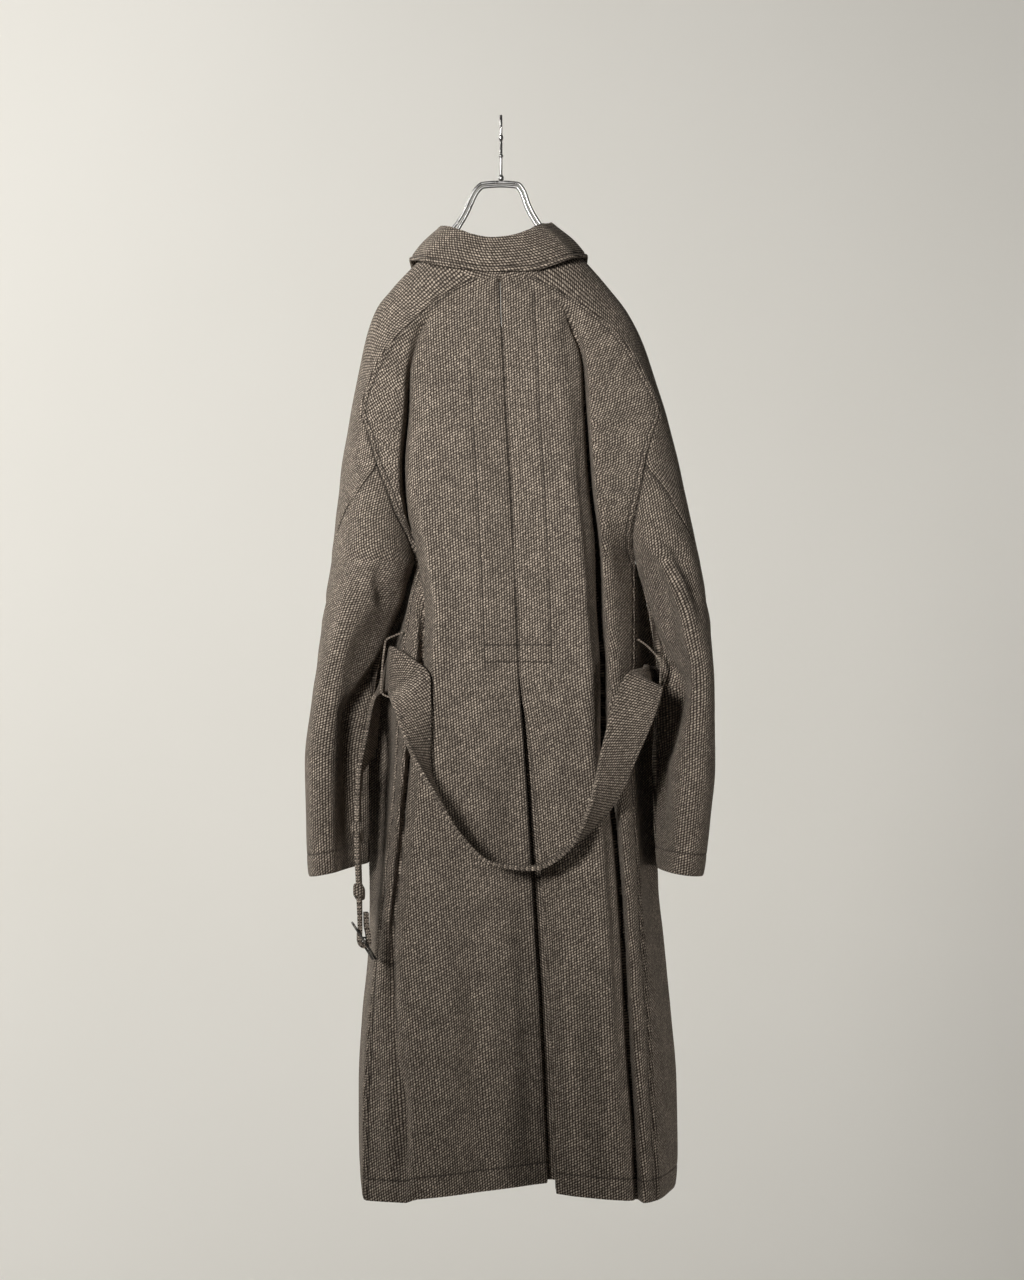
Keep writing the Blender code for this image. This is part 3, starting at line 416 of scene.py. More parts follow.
def through(stations, steps):
    """Points on a smooth curve through the stations, with so many steps between each pair."""
    points = np.array(stations, float)
    chords = np.linalg.norm(np.diff(points, axis=0), axis=1)
    keys = np.concatenate(([0.0], np.cumsum(np.sqrt(chords) + 1e-6)))
    slopes = gentle_slopes(keys, points)
    result = []
    for i, count in enumerate(steps):
        result += [between(keys, points, slopes, i, t) for t in np.arange(count) / count]
    result.append(points[len(steps)])
    return np.array(result)


def unit(vectors):
    return vectors / np.maximum(np.linalg.norm(vectors, axis=-1, keepdims=True), 1e-9)


def run(points, axis):
    """Direction along a grid at each of its points, halfway between the steps on either side."""
    steps = unit(np.diff(points, axis=axis))
    last = np.take(steps, [-1], axis=axis)
    first = np.take(steps, [0], axis=axis)
    return unit(np.concatenate((first, steps), axis=axis) + np.concatenate((steps, last), axis=axis))


def front_level(z):
    """Level on the front of the section that is at z on the back: the neck is lower in front."""
    fade = max(0.0, (z - NECK_DROP_FOOT) / NECK_DROP_RUN)
    return z - FRONT_NECK_DROP * fade ** 0.7


def arm_parting(side, z):
    """Sideways step of the sleeve away from the body at the foot of the armhole."""
    return OUT[side] * ARM_PARTING * max(0.0, 1.0 - abs(z - UNDERARM_Z) / ARM_PARTING_RUN)


def sleeve_point(side, z, angle):
    """Point of the shoulder or sleeve section: angle 0 is its inner edge, a quarter turn its back."""
    out = OUT[side]
    parting = arm_parting(side, z)
    if z >= UNDERARM_Z:
        table = SHOULDER[side]
        turn = math.radians(table.at("turn", z))
        half = (table.at("ridge_x", z) - table.at("seam_x", z)) / (1 + math.cos(turn))
        middle = table.at("ridge_x", z) - half
        x = middle - half * math.cos(angle) + parting
        y = -table.at("depth", z) * math.sin(angle)
        way = (angle - turn) / (2 * (math.pi - turn))
        ridge = 0.5 - 0.5 * math.cos(2 * math.pi * way)
        foot = z if way < 0.5 else front_level(z)
        return np.array((x, y, foot + (table.at("ridge_z", z) - foot) * ridge))
    table = SLEEVE[side]
    inner = table.at("inner_x", z)
    outer = table.at("outer_x", z)
    slant = table.at("slant", z)
    half = 0.5 * abs(outer - inner)
    dent = table.at("hollow", z) * HOLLOW_GAIN * max(0.0, math.sin(angle)) * max(0.0, math.cos(angle)) ** 2
    x = 0.5 * (inner + outer) + parting + out * (slant * math.sin(angle) ** 2 + dent - half * math.cos(angle))
    y = -table.at("depth", z) * math.sin(angle)
    fade = share((z - CUFF_LIFT_TOP) / (CUFF_Z - CUFF_LIFT_TOP))
    lift = CUFF_LIFT[side] * fade ** 2 * (outer - x) / (outer - inner)
    return np.array((x, y, z + lift))


def seam_turn(side, z):
    """Angle where the shoulder or sleeve section meets the back: none below the underarm."""
    return math.radians(SHOULDER[side].at("turn", z)) if z > UNDERARM_Z else 0.0


def armhole_point(side, z, angle):
    """Body's edge of the armhole: beside the sleeve's edge, and parted from it at the foot."""
    return sleeve_point(side, z, angle) - np.array((2 * arm_parting(side, z), 0.0, 0.0))


def back_stations(side, z):
    """Centre, middle, crest, brow, fold, lip and side seam of a back, and the next point past it."""
    table = BACK[side]
    out = OUT[side]
    centre = np.array((table.at("centre_x", z), table.at("centre_y", z), z))
    if z >= UNDERARM_Z:
        seam = armhole_point(side, z, seam_turn(side, z))
        past = sleeve_point(side, z, seam_turn(side, z) + PAST_SEAM)
        past[2] = z
    else:
        seam = np.array((table.at("side_x", z), table.at("side_y", z), z))
        past = np.array((EDGE.at(side, z), EDGE.at("y", z), z))
    fold_x = table.at("fold_x", z)
    room = abs(seam[0] - fold_x)
    crest_step = min(FOLD_IN, 0.4 * abs(fold_x - centre[0]))
    lobe_y = table.at("lobe_y", z)
    depth = table.at("fold_y", z) - lobe_y
    deep = share(depth / DEEP_FOLD)
    lip_step = min(FOLD_OUT[side], 0.5 * room)
    crest = np.array((fold_x - out * crest_step, lobe_y, z))
    hang = min(BROW, 0.35 * lip_step) * deep - 0.4 * crest_step * (1.0 - deep)
    brow = np.array((fold_x + out * hang, lobe_y + BROW_DROP * depth, z))
    fold = np.array((fold_x + out * (hang + 0.3 * (lip_step - hang)) * deep, lobe_y + depth, z))
    lip = np.array((fold_x + out * lip_step, table.at("lip_y", z), z))
    middle = 0.5 * (centre + crest) - np.array((0.0, BACK_SWELL, 0.0))
    return [centre, middle, crest, brow, fold, lip, seam, past]


def back_row(side, z, steps):
    points = through(back_stations(side, z), steps)
    lift = max(0.0, (PLEAT_TOP_Z - z) / (PLEAT_TOP_Z - HEM_Z)) ** 2
    points[:, 2] += HEM_LIFT[side] * lift * np.linspace(1.0, 0.0, len(points)) ** 2
    return points


def front_row(side, z, steps):
    """Front section from the lapped centre edge to the armhole or side seam."""
    out = OUT[side]
    level = front_level(z)
    over = side == "left"
    step = LAP_STEP if over else -LAP_STEP
    if z >= UNDERARM_Z:
        seam = armhole_point(side, z, 2 * math.pi - seam_turn(side, z))
        past = sleeve_point(side, z, 2 * math.pi - seam_turn(side, z) - PAST_SEAM)
        seam[2] = level
        past[2] = level
    else:
        past, seam = back_stations(side, z)[5:7]
    reach = abs(seam[0])
    lap_x = min(LAP_OVER if over else LAP_UNDER, 0.55 * reach)
    centre = np.array((-out * lap_x, FRONT.at("centre_y", z) + step, level))
    fold_x = out * min(FRONT_FOLD_X, 0.62 * reach)
    crest = np.array((fold_x - out * min(FOLD_IN, 0.2 * reach), FRONT.at("lobe_y", z), level))
    deep = share((FRONT_FOLD_TOP - z) / FRONT_FOLD_RUN)
    fold_y = FRONT.at("lobe_y", z) + deep * (FRONT.at("fold_y", z) - FRONT.at("lobe_y", z))
    fold = np.array((fold_x, fold_y, level))
    if z >= UNDERARM_Z:
        edge = 0.5 * (fold + seam) + np.array((0.0, min(2.0, 0.05 * abs(seam[0] - fold[0])), 0.0))
        tuck = 0.5 * (edge + seam)
    else:
        edge = np.array((EDGE.at(side, z), EDGE.at("y", z), level))
        deep_in = EDGE.at("tuck", z)
        tuck = seam + (edge - seam) * (0.66 - 0.42 * deep_in, 0.5 + 0.14 * deep_in, 0.5)
    lap = np.array((0.0, FRONT.at("centre_y", z) + step, level))
    return through([centre, lap, crest, fold, edge, tuck, seam, past], steps)


def column(panel, j, first=0, last=None):
    """Places in a column of a panel, from one row to before another."""
    rows = range(len(panel.points))[first:last]
    return [(i, j % panel.points.shape[1]) for i in rows]


def sew(panel_a, edge_a, panel_b, edge_b):
    """Let two edges, given as columns, share their directions, and leave the seam's gap between them."""
    edge_a = column(panel_a, *edge_a)
    edge_b = column(panel_b, *edge_b)
    for (i, j), (k, m) in zip(edge_a, edge_b):
        shared = unit(panel_a.normals[i, j] + panel_b.normals[k, m])
        panel_a.normals[i, j] = shared
        panel_b.normals[k, m] = shared
    panel_a.pull(edge_a)
    panel_b.pull(edge_b)


def axes(x_axis, y_axis, origin):
    """Frame of axes at an origin in millimetres."""
    x_axis = unit(np.array(x_axis, float))
    y_axis = unit(np.array(y_axis, float))
    matrix = np.identity(4)
    matrix[:3] = np.stack((x_axis, y_axis, np.cross(x_axis, y_axis), np.array(origin) * MM), axis=1)
    return Matrix(matrix.tolist())


def rounded(half_x, half_y, radius, centre_x=0.0, count=5):
    """Rectangle with rounded corners, anticlockwise."""
    points = []
    for quarter, (sign_x, sign_y) in enumerate(((1, 1), (-1, 1), (-1, -1), (1, -1))):
        for step in range(count):
            angle = math.radians(90 * quarter + 90 * step / (count - 1))
            points.append((centre_x + sign_x * (half_x - radius) + radius * math.cos(angle),
                           sign_y * (half_y - radius) + radius * math.sin(angle)))
    return points


def arc_points(radius, angles):
    """Points on a circle round nought."""
    return [(radius * math.cos(a), radius * math.sin(a)) for a in angles]


def elbow_turn(side, z):
    """Angle of the elbow seam; it starts on the armhole with a narrow point."""
    return max(math.radians(ELBOW.at(side, z)), seam_turn(side, z) + ELBOW_POINT)


def belt_frame(z):
    """Middle and slope of the hanging end at a level."""
    rows = sorted((row[2], 0.5 * (row[0] + row[3]), 0.5 * (row[1] + row[4])) for row in BELT_ROWS[:4])
    hanging = Table(("z", "x", "y"), rows)
    slope = (hanging.at("y", z + SLOPE_STEP) - hanging.at("y", z - SLOPE_STEP)) / (2 * SLOPE_STEP)
    return np.array((hanging.at("x", z), hanging.at("y", z), z)), slope


# Fine grids: thickness of the shells, seams, stitches, rows of points close to edges and lines
SHELL = 2.2
SEWN_GAP = 0.4
TUCK_IN = 4.5
TUCK_DOWN = np.array((0.0, 0.0, 7.0))
ROW_STEP = 3.6
RIM_WEAVE = 3.4
STITCH_PITCH = 4.2
STITCH_LONG = 3.0
STITCH_RADIUS = 0.4
SEAM_STITCH = 7.0
HEM_STITCH = 25.0
CUFF_STITCH = 26.0
COLLAR_STITCH = 6.0
BELT_STITCH = 5.5
PANEL_LINE = 40.0
FREE_EDGE = (0.0, 0.5, 1.2, 2.4, 5.0)
SEAM_EDGE = (9.0, 7.9, 7.4, 7.0, 6.6, 6.1, 4.5, 2.6, 1.5, 0.7, 0.0)
PLAIN_EDGE = (5.0, 2.6, 1.5, 0.7, 0.0)
LINE = (-1.6, -0.8, 0.0, 0.8, 1.6)
LINE_ROOM = 3.0
EDGE_ROOM = 6.0
SHARP_ANGLE = math.radians(55.0)

# Drape: how far edges roll in, over what reach and with how much painted shade, less so near the underarm;
# stitched lines and their puff; creases with their shoulders; how the inside follows the outside
ROLL_IN = 2.1
ROLL_REACH = 1.6
ROLL_SHADE = 0.45
UNDERARM_SHY = 0.9
UNDERARM_REACH = 22.0
HEM_ROLL = 0.7
STITCH_WIDE = 1.1
GROOVE_DEPTH = 0.9
GROOVE_PUFF = 0.5
PUFF_PLACE = 0.5
PUFF_WIDE = 0.4
FACING_GAIN = 2.0
CREASE_TIP = 0.02
CREASE_FADE = 0.7
CREASE_SHOULDER = 0.3
SHOULDER_PLACE = 1.9
INNER_SHARE = 0.5
INNER_NEAREST = 0.8
WEAVE_WINDOW = 31
HANG_WAVES = 0.45
COLLAR_WAVES = 0.3
BELT_WAVES = 0.25

# Stitch: number of sides, and along it the place, width and rise of each ring
THREAD_SIDES = 5
STITCH_START = 0.8
STITCH_RINGS = ((0.0, 0.35, -0.2), (0.18, 0.9, 0.12), (0.5, 1.0, 0.2), (0.82, 0.9, 0.12), (1.0, 0.35, -0.2))


def refine(levels, step):
    """Levels with no gap above the step, keeping those given."""
    result = [float(levels[0])]
    for a, b in zip(levels, levels[1:]):
        count = max(1, math.ceil(abs(b - a) / step))
        result += [a + (b - a) * (k + 1) / count for k in range(count)]
    return result


def with_lines(levels, lines):
    """Levels with more of them close by each stitched line and the free edge at the end."""
    close = [line + step for line in lines for step in LINE] + [levels[-1] + step for step in FREE_EDGE[1:]]
    far = [z for z in levels if min(abs(z - line) for line in lines + [levels[-1]]) > LINE_ROOM]
    return sorted(set(far + close + [levels[-1]]), reverse=True)


def resample(curve, positions):
    """Points of a curve at distances along it."""
    return read_along(distances(curve), curve, positions)


def length(curve):
    return float(np.linalg.norm(np.diff(curve, axis=0), axis=1).sum())


def space(curve, start, line, end, counts):
    """Points across a row: close together at its edges and its stitched line, even between them."""
    width = length(curve)
    inner = [PANEL_LINE + step for step in LINE] if line else []
    wanted = (inner or list(start))[-1] + end[0] + EDGE_ROOM
    room = min(1.0, width / wanted)
    chunks = [np.array(start) * room]
    if line:
        chunks.append(np.linspace(start[-1] * room, inner[0] * room, counts[0] + 1)[1:-1])
        chunks.append(np.array(inner) * room)
    last = width - np.array(end) * room
    chunks.append(np.linspace(chunks[-1][-1], last[0], counts[-1] + 1)[1:-1])
    chunks.append(last)
    return resample(curve, np.concatenate(chunks))


def bell(distance, width):
    """One at no distance, falling off smoothly over a width."""
    return np.exp(-(distance / width) ** 2)


class Cloth:
    """Grid of points on a piece of cloth, with its directions, distances from its edges, rise and painted
    shade.
    """

    def __init__(self, rows, facing, reference=0):
        self.points = np.array(rows, float)
        self.facing = facing
        self.normals = unit(np.cross(run(self.points, 1), run(self.points, 0))) * facing
        across = distances(self.points, 1)
        down = distances(self.points, 0)
        self.first = across
        self.last = across[:, -1:] - across
        self.up = down[-1:] - down
        self.u = (across[:, reference:reference + 1] - across) * facing
        self.v = np.repeat(down[:, reference:reference + 1], across.shape[1], axis=1)
        self.lift = np.zeros(across.shape)
        # Painted shade along seams, stitched lines and rolled edges, for the cloth's colour
        self.seam_shade = np.zeros(across.shape)

    def slant_weave(self):
        """Turn the weave with the slant of a sleeve."""
        middle = self.points.mean(axis=1)[:, (0, 2)]
        width = WEAVE_WINDOW
        padded = np.pad(middle, ((width, width), (0, 0)), "reflect", reflect_type="odd")
        smooth = np.stack([np.convolve(padded[:, k], np.ones(width) / width, "same") for k in (0, 1)], axis=1)
        ahead = unit(np.gradient(smooth[width:-width], axis=0))
        self.v = distances(middle)[:, None] + (self.points[:, :, 0] - middle[:, :1]) * ahead[:, :1]
        self.u = self.u * np.abs(ahead[:, 1:])

    def pull(self, edge):
        """Draw an edge column back from its seam by half the gap."""
        for i, j in edge:
            inward = self.points[i, 1 if j == 0 else j - 1] - self.points[i, j]
            self.points[i, j] += 0.5 * SEWN_GAP * unit(inward)

    def roll(self, distance, depth=ROLL_IN):
        """Turn the cloth in at an edge, less so where body and sleeve part, and paint shade into the turned
        edge.
        """
        shy = 1.0 - UNDERARM_SHY * bell(self.points[:, :, 2] - UNDERARM_Z, UNDERARM_REACH)
        turned = depth * shy * bell(distance, ROLL_REACH)
        self.lift -= turned
        self.seam_shade += ROLL_SHADE * turned

    def stitch(self, distance, depth, where=1.0):
        """Stitched line, sunk into the cloth, with shade painted along it."""
        near = where * bell(distance, STITCH_WIDE)
        self.lift -= depth * near
        self.seam_shade += near

    def groove(self, distance, at, strength=1.0):
        """Draw the cloth in along a stitched line, and puff it up beside the line."""
        self.stitch(distance - at, GROOVE_DEPTH * strength)
        self.lift += GROOVE_PUFF * strength * bell(distance - at * PUFF_PLACE, PUFF_WIDE * at)

    def crease(self, points, depth, width, face):
        """Soft trough, or ridge where the depth is below nought, along points seen from one side."""
        axis = 0 if face[0] == "y" else 1
        flat = self.points[:, :, (axis, 2)]
        way_out = -FACING_GAIN if face[1] == "-" else FACING_GAIN
        looking = np.clip(self.normals[:, :, 1 - axis] * way_out, 0.0, 1.0)
        line = np.array(points, float)
        ends = distances(line)
        near = np.full(flat.shape[:2], np.inf)
        along = np.zeros(flat.shape[:2])
        for a, b, start, end in zip(line, line[1:], ends, ends[1:]):
            way = np.clip(((flat - a) @ (b - a)) / ((b - a) @ (b - a)), 0.0, 1.0)
            gap = np.linalg.norm(flat - (a + way[:, :, None] * (b - a)), axis=2)
            closer = gap < near
            near = np.where(closer, gap, near)
            along = np.where(closer, (start + way * (end - start)) / ends[-1], along)
        fade = np.sin(math.pi * (along * (1.0 - 2 * CREASE_TIP) + CREASE_TIP)) ** CREASE_FADE
        shape = bell(near, width) - CREASE_SHOULDER * bell(near - SHOULDER_PLACE * width, width)
        self.lift -= depth * fade * looking * shape

    def unevenness(self, size):
        """Slight waves of hanging cloth, different everywhere."""
        x, y, z = np.moveaxis(self.points, 2, 0)
        wave = np.sin(x / 19.0 + 0.8 * np.sin(z / 61.0)) * np.sin(z / 83.0 + y / 31.0)
        wave += 0.6 * np.sin(x / 9.5 + z / 47.0 + 1.3) * np.sin(y / 13.0 - z / 39.0)
        wave += 0.35 * np.sin(z / 15.0 + 2.0 * np.sin(x / 23.0)) * np.sin(x / 12.0 + y / 17.0)
        self.lift += size * wave

    def outer(self):
        return self.points + self.normals * self.lift[:, :, None]

    def inner(self, thick):
        follow = np.minimum(INNER_SHARE * self.lift, self.lift + INNER_NEAREST)[:, :, None]
        return self.points + self.normals * (follow - thick)


def place_object(name, data):
    """Object with given data, put in the scene."""
    obj = bpy.data.objects.new(name, data)
    bpy.context.scene.collection.objects.link(obj)
    return obj


def piece(name, points, faces, material):
    """Smooth mesh in metres of one material, put in the scene."""
    mesh = bpy.data.meshes.new(name)
    mesh.from_pydata(points, [], faces)
    mesh.shade_smooth()
    mesh.materials.append(material)
    return place_object(name, mesh)


def shell(name, outer, inner, u, v, facing, keep=None, wrap=False, seam_shade=None):
    """Closed thin mesh between two grids, with the weave's coordinates in metres and any painted shade kept
    on its points.
    """
    rows, columns = outer.shape[:2]
    count = rows * columns
    spans = columns if wrap else columns - 1
    quads = []
    maps = []
    used = set()
    rims = 0
    for i in range(rows - 1):
        for j in range(spans):
            if keep and not keep(i, j):
                continue
            k = (j + 1) % columns
            ring = (i * columns + j, i * columns + k, (i + 1) * columns + k, (i + 1) * columns + j)
            places = ((i, j), (i, j + 1), (i + 1, j + 1), (i + 1, j))
            if facing < 0:
                ring = ring[::-1]
                places = places[::-1]
            quads.append(ring)
            maps.append(places)
            quads.append(tuple(n + count for n in ring[::-1]))
            maps.append(places[::-1])
            used.update(zip(ring, ring[1:] + ring[:1], places, places[1:] + places[:1]))
    pairs = {(a, b) for a, b, _, _ in used}
    for a, b, place_a, place_b in sorted(used):
        if (b, a) not in pairs:
            quads.append((b, a, a + count, b + count))
            maps.append((place_b, place_a, place_a, place_b))
            rims += 1
    points = np.concatenate((outer.reshape(-1, 3), inner.reshape(-1, 3))) * MM
    wanted = np.unique(np.array(quads))
    fresh = np.zeros(2 * count, int)
    fresh[wanted] = np.arange(len(wanted))
    obj = piece(name, points[wanted].tolist(), fresh[np.array(quads)].tolist(), TWEED)
    mesh = obj.data
    # Painted shade along seams and rolled edges, kept as a point attribute for the colour; none on the inside
    if seam_shade is not None:
        painted_shade = np.concatenate((seam_shade.ravel(), np.zeros(count)))[wanted]
        mesh.attributes.new("seam_shade", "FLOAT", "POINT").data.foreach_set("value", painted_shade.astype(np.float32))
    weave = mesh.uv_layers.new(name="weave")
    places = np.array(maps).reshape(-1, 2)
    pairs_uv = np.stack((u[places[:, 0], places[:, 1]], v[places[:, 0], places[:, 1]]), axis=1) * MM
    pairs_uv.reshape(-1, 4, 2)[len(quads) - rims:, 2:] += RIM_WEAVE * MM
    weave.data.foreach_set("uv", pairs_uv.astype(np.float32).ravel())
    mesh.set_sharp_from_angle(angle=SHARP_ANGLE)
    return obj


def wall_faces(first, rings, sides):
    """Faces round a row of rings of points, which start at a number."""
    faces = []
    for i in range(first, first + (rings - 1) * sides, sides):
        for k in range(sides):
            a = i + k
            b = i + (k + 1) % sides
            faces.append((a, b, b + sides, a + sides))
    return faces


def stitches(name, lines):
    """Rows of short thread stitches along lines of points with their directions out of the cloth."""
    vertices = []
    faces = []
    sides = THREAD_SIDES
    turns = np.arange(sides) * 2 * math.pi / sides
    ring_places = np.array([row[0] for row in STITCH_RINGS]) * STITCH_LONG
    for points, normals in lines:
        places = distances(points)
        for start in np.arange(STITCH_START, length(points) - STITCH_LONG, STITCH_PITCH):
            spine = read_along(places, points, start + ring_places)
            out = unit(read_along(places, normals, start))
            side = np.cross(unit(spine[-1] - spine[0]), out)
            first = len(vertices)
            for centre, (_, wide, rise) in zip(spine, STITCH_RINGS):
                for a in turns:
                    bulge = (math.cos(a) * side + math.sin(a) * out) * STITCH_RADIUS * wide
                    vertices.append(tuple((centre + bulge + out * rise) * MM))
            faces += wall_faces(first, len(STITCH_RINGS), sides)
            faces.append(tuple(reversed(range(first, first + sides))))
            faces.append(tuple(range(len(vertices) - sides, len(vertices))))
    obj = piece(name, vertices, faces, THREAD)
    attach(obj, COAT)
    return obj


# Materials

def node(tree, kind, **values):
    made = tree.nodes.new(kind)
    for name, value in values.items():
        setattr(made, name, value)
    return made


class Wiring:
    """Short ways to wire a material's nodes."""

    def __init__(self, name):
        self.material = bpy.data.materials.new(name)
        self.material.use_nodes = True
        self.tree = self.material.node_tree
        self.shader = self.tree.nodes["Principled BSDF"]

    def link(self, source, target):
        self.tree.links.new(source, target)

    def math(self, operation, first, second=None, third=None):
        made = node(self.tree, "ShaderNodeMath", operation=operation)
        for socket, value in zip(made.inputs, (first, second, third)):
            if isinstance(value, (int, float)):
                socket.default_value = value
            elif value is not None:
                self.link(value, socket)
        return made.outputs[0]

    def ramp(self, value, low, high, to_low=0.0, to_high=1.0, smooth=True):
        made = node(self.tree, "ShaderNodeMapRange", interpolation_type="SMOOTHSTEP" if smooth else "LINEAR")
        self.link(value, made.inputs["Value"])
        for name, number in (("From Min", low), ("From Max", high), ("To Min", to_low), ("To Max", to_high)):
            made.inputs[name].default_value = number
        return made.outputs["Result"]

    def mix(self, share, first, second, blend="MIX"):
        made = node(self.tree, "ShaderNodeMix", data_type="RGBA", blend_type=blend)
        if isinstance(share, (int, float)):
            made.inputs["Factor"].default_value = share
        else:
            self.link(share, made.inputs["Factor"])
        for socket, value in ((made.inputs["A"], first), (made.inputs["B"], second)):
            if isinstance(value, tuple):
                socket.default_value = (*value, 1.0)
            else:
                self.link(value, socket)
        return made.outputs["Result"]

    def noise(self, vector, scale, detail=2.0, roughness=0.5):
        made = node(self.tree, "ShaderNodeTexNoise")
        self.link(vector, made.inputs["Vector"])
        made.inputs["Scale"].default_value = scale
        made.inputs["Detail"].default_value = detail
        made.inputs["Roughness"].default_value = roughness
        return made.outputs["Fac"]

    def place(self):
        """Place on the piece itself, in metres."""
        return node(self.tree, "ShaderNodeTexCoord").outputs["Object"]

    def put(self, name, value):
        """Give an input of the shader a fixed value or a node's output."""
        if isinstance(value, (float, tuple)):
            self.shader.inputs[name].default_value = value
        else:
            self.link(value, self.shader.inputs[name])

    def bump(self, height, distance, strength):
        made = node(self.tree, "ShaderNodeBump")
        made.inputs["Distance"].default_value = distance
        made.inputs["Strength"].default_value = strength
        self.link(height, made.inputs["Height"])
        self.link(made.outputs["Normal"], self.shader.inputs["Normal"])


# Tweed: spacing of the flecks in metres, how far and how finely they wander, slant and size of a fleck, yarns
WEAVE_PITCH = 0.00322
WANDER = 0.55
WANDER_SCALE = 260.0
FIBRE_SCALE = 3400.0
PATCH_SCALE = 34.0
PATCH_TONES = (0.86, 1.1)
# Most that the painted shade along seams and rolled edges draws the colour towards the dark yarn
SEAM_SHADE_MAX = 0.6
DARK_YARN = (0.020, 0.0155, 0.0125)
BROWN_YARN = (0.056, 0.043, 0.034)
LIGHT_YARN = (0.76, 0.64, 0.52)
GRAIN_COS = math.cos(math.radians(55.0))
GRAIN_SIN = math.sin(math.radians(55.0))
GRAIN_LONG = 0.55
GRAIN_WIDE = 0.33


def tweed():
    """Wool tweed: light flecks in offset rows on dark yarn, uneven from fleck to fleck, with a soft nap, and
    shade painted along seams and rolled edges.
    """
    w = Wiring("tweed_cloth")
    uv = node(w.tree, "ShaderNodeUVMap", uv_map="weave").outputs[0]
    drift = node(w.tree, "ShaderNodeTexNoise", noise_dimensions="2D")
    w.link(uv, drift.inputs["Vector"])
    drift.inputs["Scale"].default_value = WANDER_SCALE
    parts = node(w.tree, "ShaderNodeSeparateColor")
    w.link(drift.outputs["Color"], parts.inputs[0])
    split = node(w.tree, "ShaderNodeSeparateXYZ")
    w.link(uv, split.inputs[0])
    wander = [w.math("MULTIPLY", parts.outputs[k], WANDER) for k in (0, 1)]
    across, along = (w.math("MULTIPLY_ADD", split.outputs[k], 1 / WEAVE_PITCH, wander[k]) for k in (0, 1))
    along = w.math("MULTIPLY_ADD", across, 0.5, along)
    row = w.math("FLOOR", along)
    cell = w.math("FLOOR", across)
    off_x = w.math("SUBTRACT", w.math("FRACT", across), 0.5)
    off_y = w.math("SUBTRACT", w.math("FRACT", along), 0.5)
    off_y = w.math("MULTIPLY_ADD", off_x, -0.5, off_y)
    grain = w.math("MULTIPLY_ADD", off_x, GRAIN_COS, w.math("MULTIPLY", off_y, -GRAIN_SIN))
    girth = w.math("MULTIPLY_ADD", off_x, GRAIN_SIN, w.math("MULTIPLY", off_y, GRAIN_COS))
    reach = w.math("SQRT", w.math("ADD", w.math("POWER", w.math("DIVIDE", grain, GRAIN_LONG), 2.0),
                                  w.math("POWER", w.math("DIVIDE", girth, GRAIN_WIDE), 2.0)))
    fleck = w.ramp(reach, 1.15, 0.3)
    key = node(w.tree, "ShaderNodeCombineXYZ")
    w.link(cell, key.inputs[0])
    w.link(row, key.inputs[1])
    chance = node(w.tree, "ShaderNodeTexWhiteNoise", noise_dimensions="2D")
    w.link(key.outputs[0], chance.inputs["Vector"])
    fibre = w.noise(uv, FIBRE_SCALE, 2.0, 0.65)
    patch = w.noise(uv, PATCH_SCALE, 3.0, 0.55)
    yarn = w.mix(w.ramp(fibre, 0.3, 0.7), DARK_YARN, BROWN_YARN)
    strength = w.math("MULTIPLY", fleck, w.ramp(chance.outputs["Value"], 0.0, 1.0, 0.45, 1.0, smooth=False))
    strength = w.math("MULTIPLY", strength, w.ramp(fibre, 0.2, 0.75, 0.62, 1.0))
    colour = w.mix(strength, yarn, LIGHT_YARN)
    shade = w.mix(w.ramp(patch, 0.3, 0.7), *((tone,) * 3 for tone in PATCH_TONES))
    colour = w.mix(1.0, colour, shade, "MULTIPLY")
    # Painted shade: along seams, stitched lines and rolled edges the colour is drawn towards the dark yarn
    painted_shade = node(w.tree, "ShaderNodeAttribute", attribute_name="seam_shade").outputs["Fac"]
    colour = w.mix(w.ramp(painted_shade, 0.1, 1.0, 0.0, SEAM_SHADE_MAX), colour, DARK_YARN)
    w.put("Base Color", colour)
    w.put("Roughness", w.ramp(fibre, 0.2, 0.8, 0.82, 0.98))
    w.put("Specular IOR Level", 0.22)
    w.put("Sheen Weight", 0.12)
    w.put("Sheen Roughness", 0.55)
    w.put("Sheen Tint", (0.62, 0.55, 0.47, 1.0))
    w.bump(w.math("MULTIPLY_ADD", fibre, 0.45, fleck), 0.0009, 0.55)
    return w.material


def thread():
    """Dark sewing thread with a twist along it."""
    w = Wiring("thread")
    twist = w.noise(w.place(), 2600.0)
    w.put("Base Color", w.mix(twist, (0.032, 0.026, 0.021), (0.075, 0.06, 0.048)))
    w.put("Roughness", w.ramp(twist, 0.3, 0.7, 0.6, 0.85))
    w.bump(twist, 0.0002, 0.5)
    return w.material


def chrome():
    """Plated wire with fine wiping marks and slight dulling."""
    w = Wiring("bright_chrome")
    place = w.place()
    smear = w.noise(place, 90.0, 3.0)
    w.put("Base Color", w.mix(smear, (0.37, 0.365, 0.36), (0.52, 0.515, 0.505)))
    w.put("Metallic", 1.0)
    w.put("Roughness", w.ramp(smear, 0.3, 0.75, 0.26, 0.40))
    w.bump(w.noise(place, 1500.0), 0.0001, 0.12)
    return w.material


def gunmetal():
    """Dark buckle metal, a little worn and lighter in patches."""
    w = Wiring("gunmetal")
    place = w.place()
    wear = w.noise(place, 210.0, 4.0, 0.6)
    w.put("Base Color", w.mix(w.ramp(wear, 0.45, 0.72), (0.05, 0.046, 0.042), (0.17, 0.155, 0.135)))
    w.put("Metallic", 1.0)
    w.put("Roughness", w.ramp(wear, 0.3, 0.7, 0.3, 0.48))
    w.bump(w.noise(place, 2400.0), 0.0001, 0.25)
    return w.material


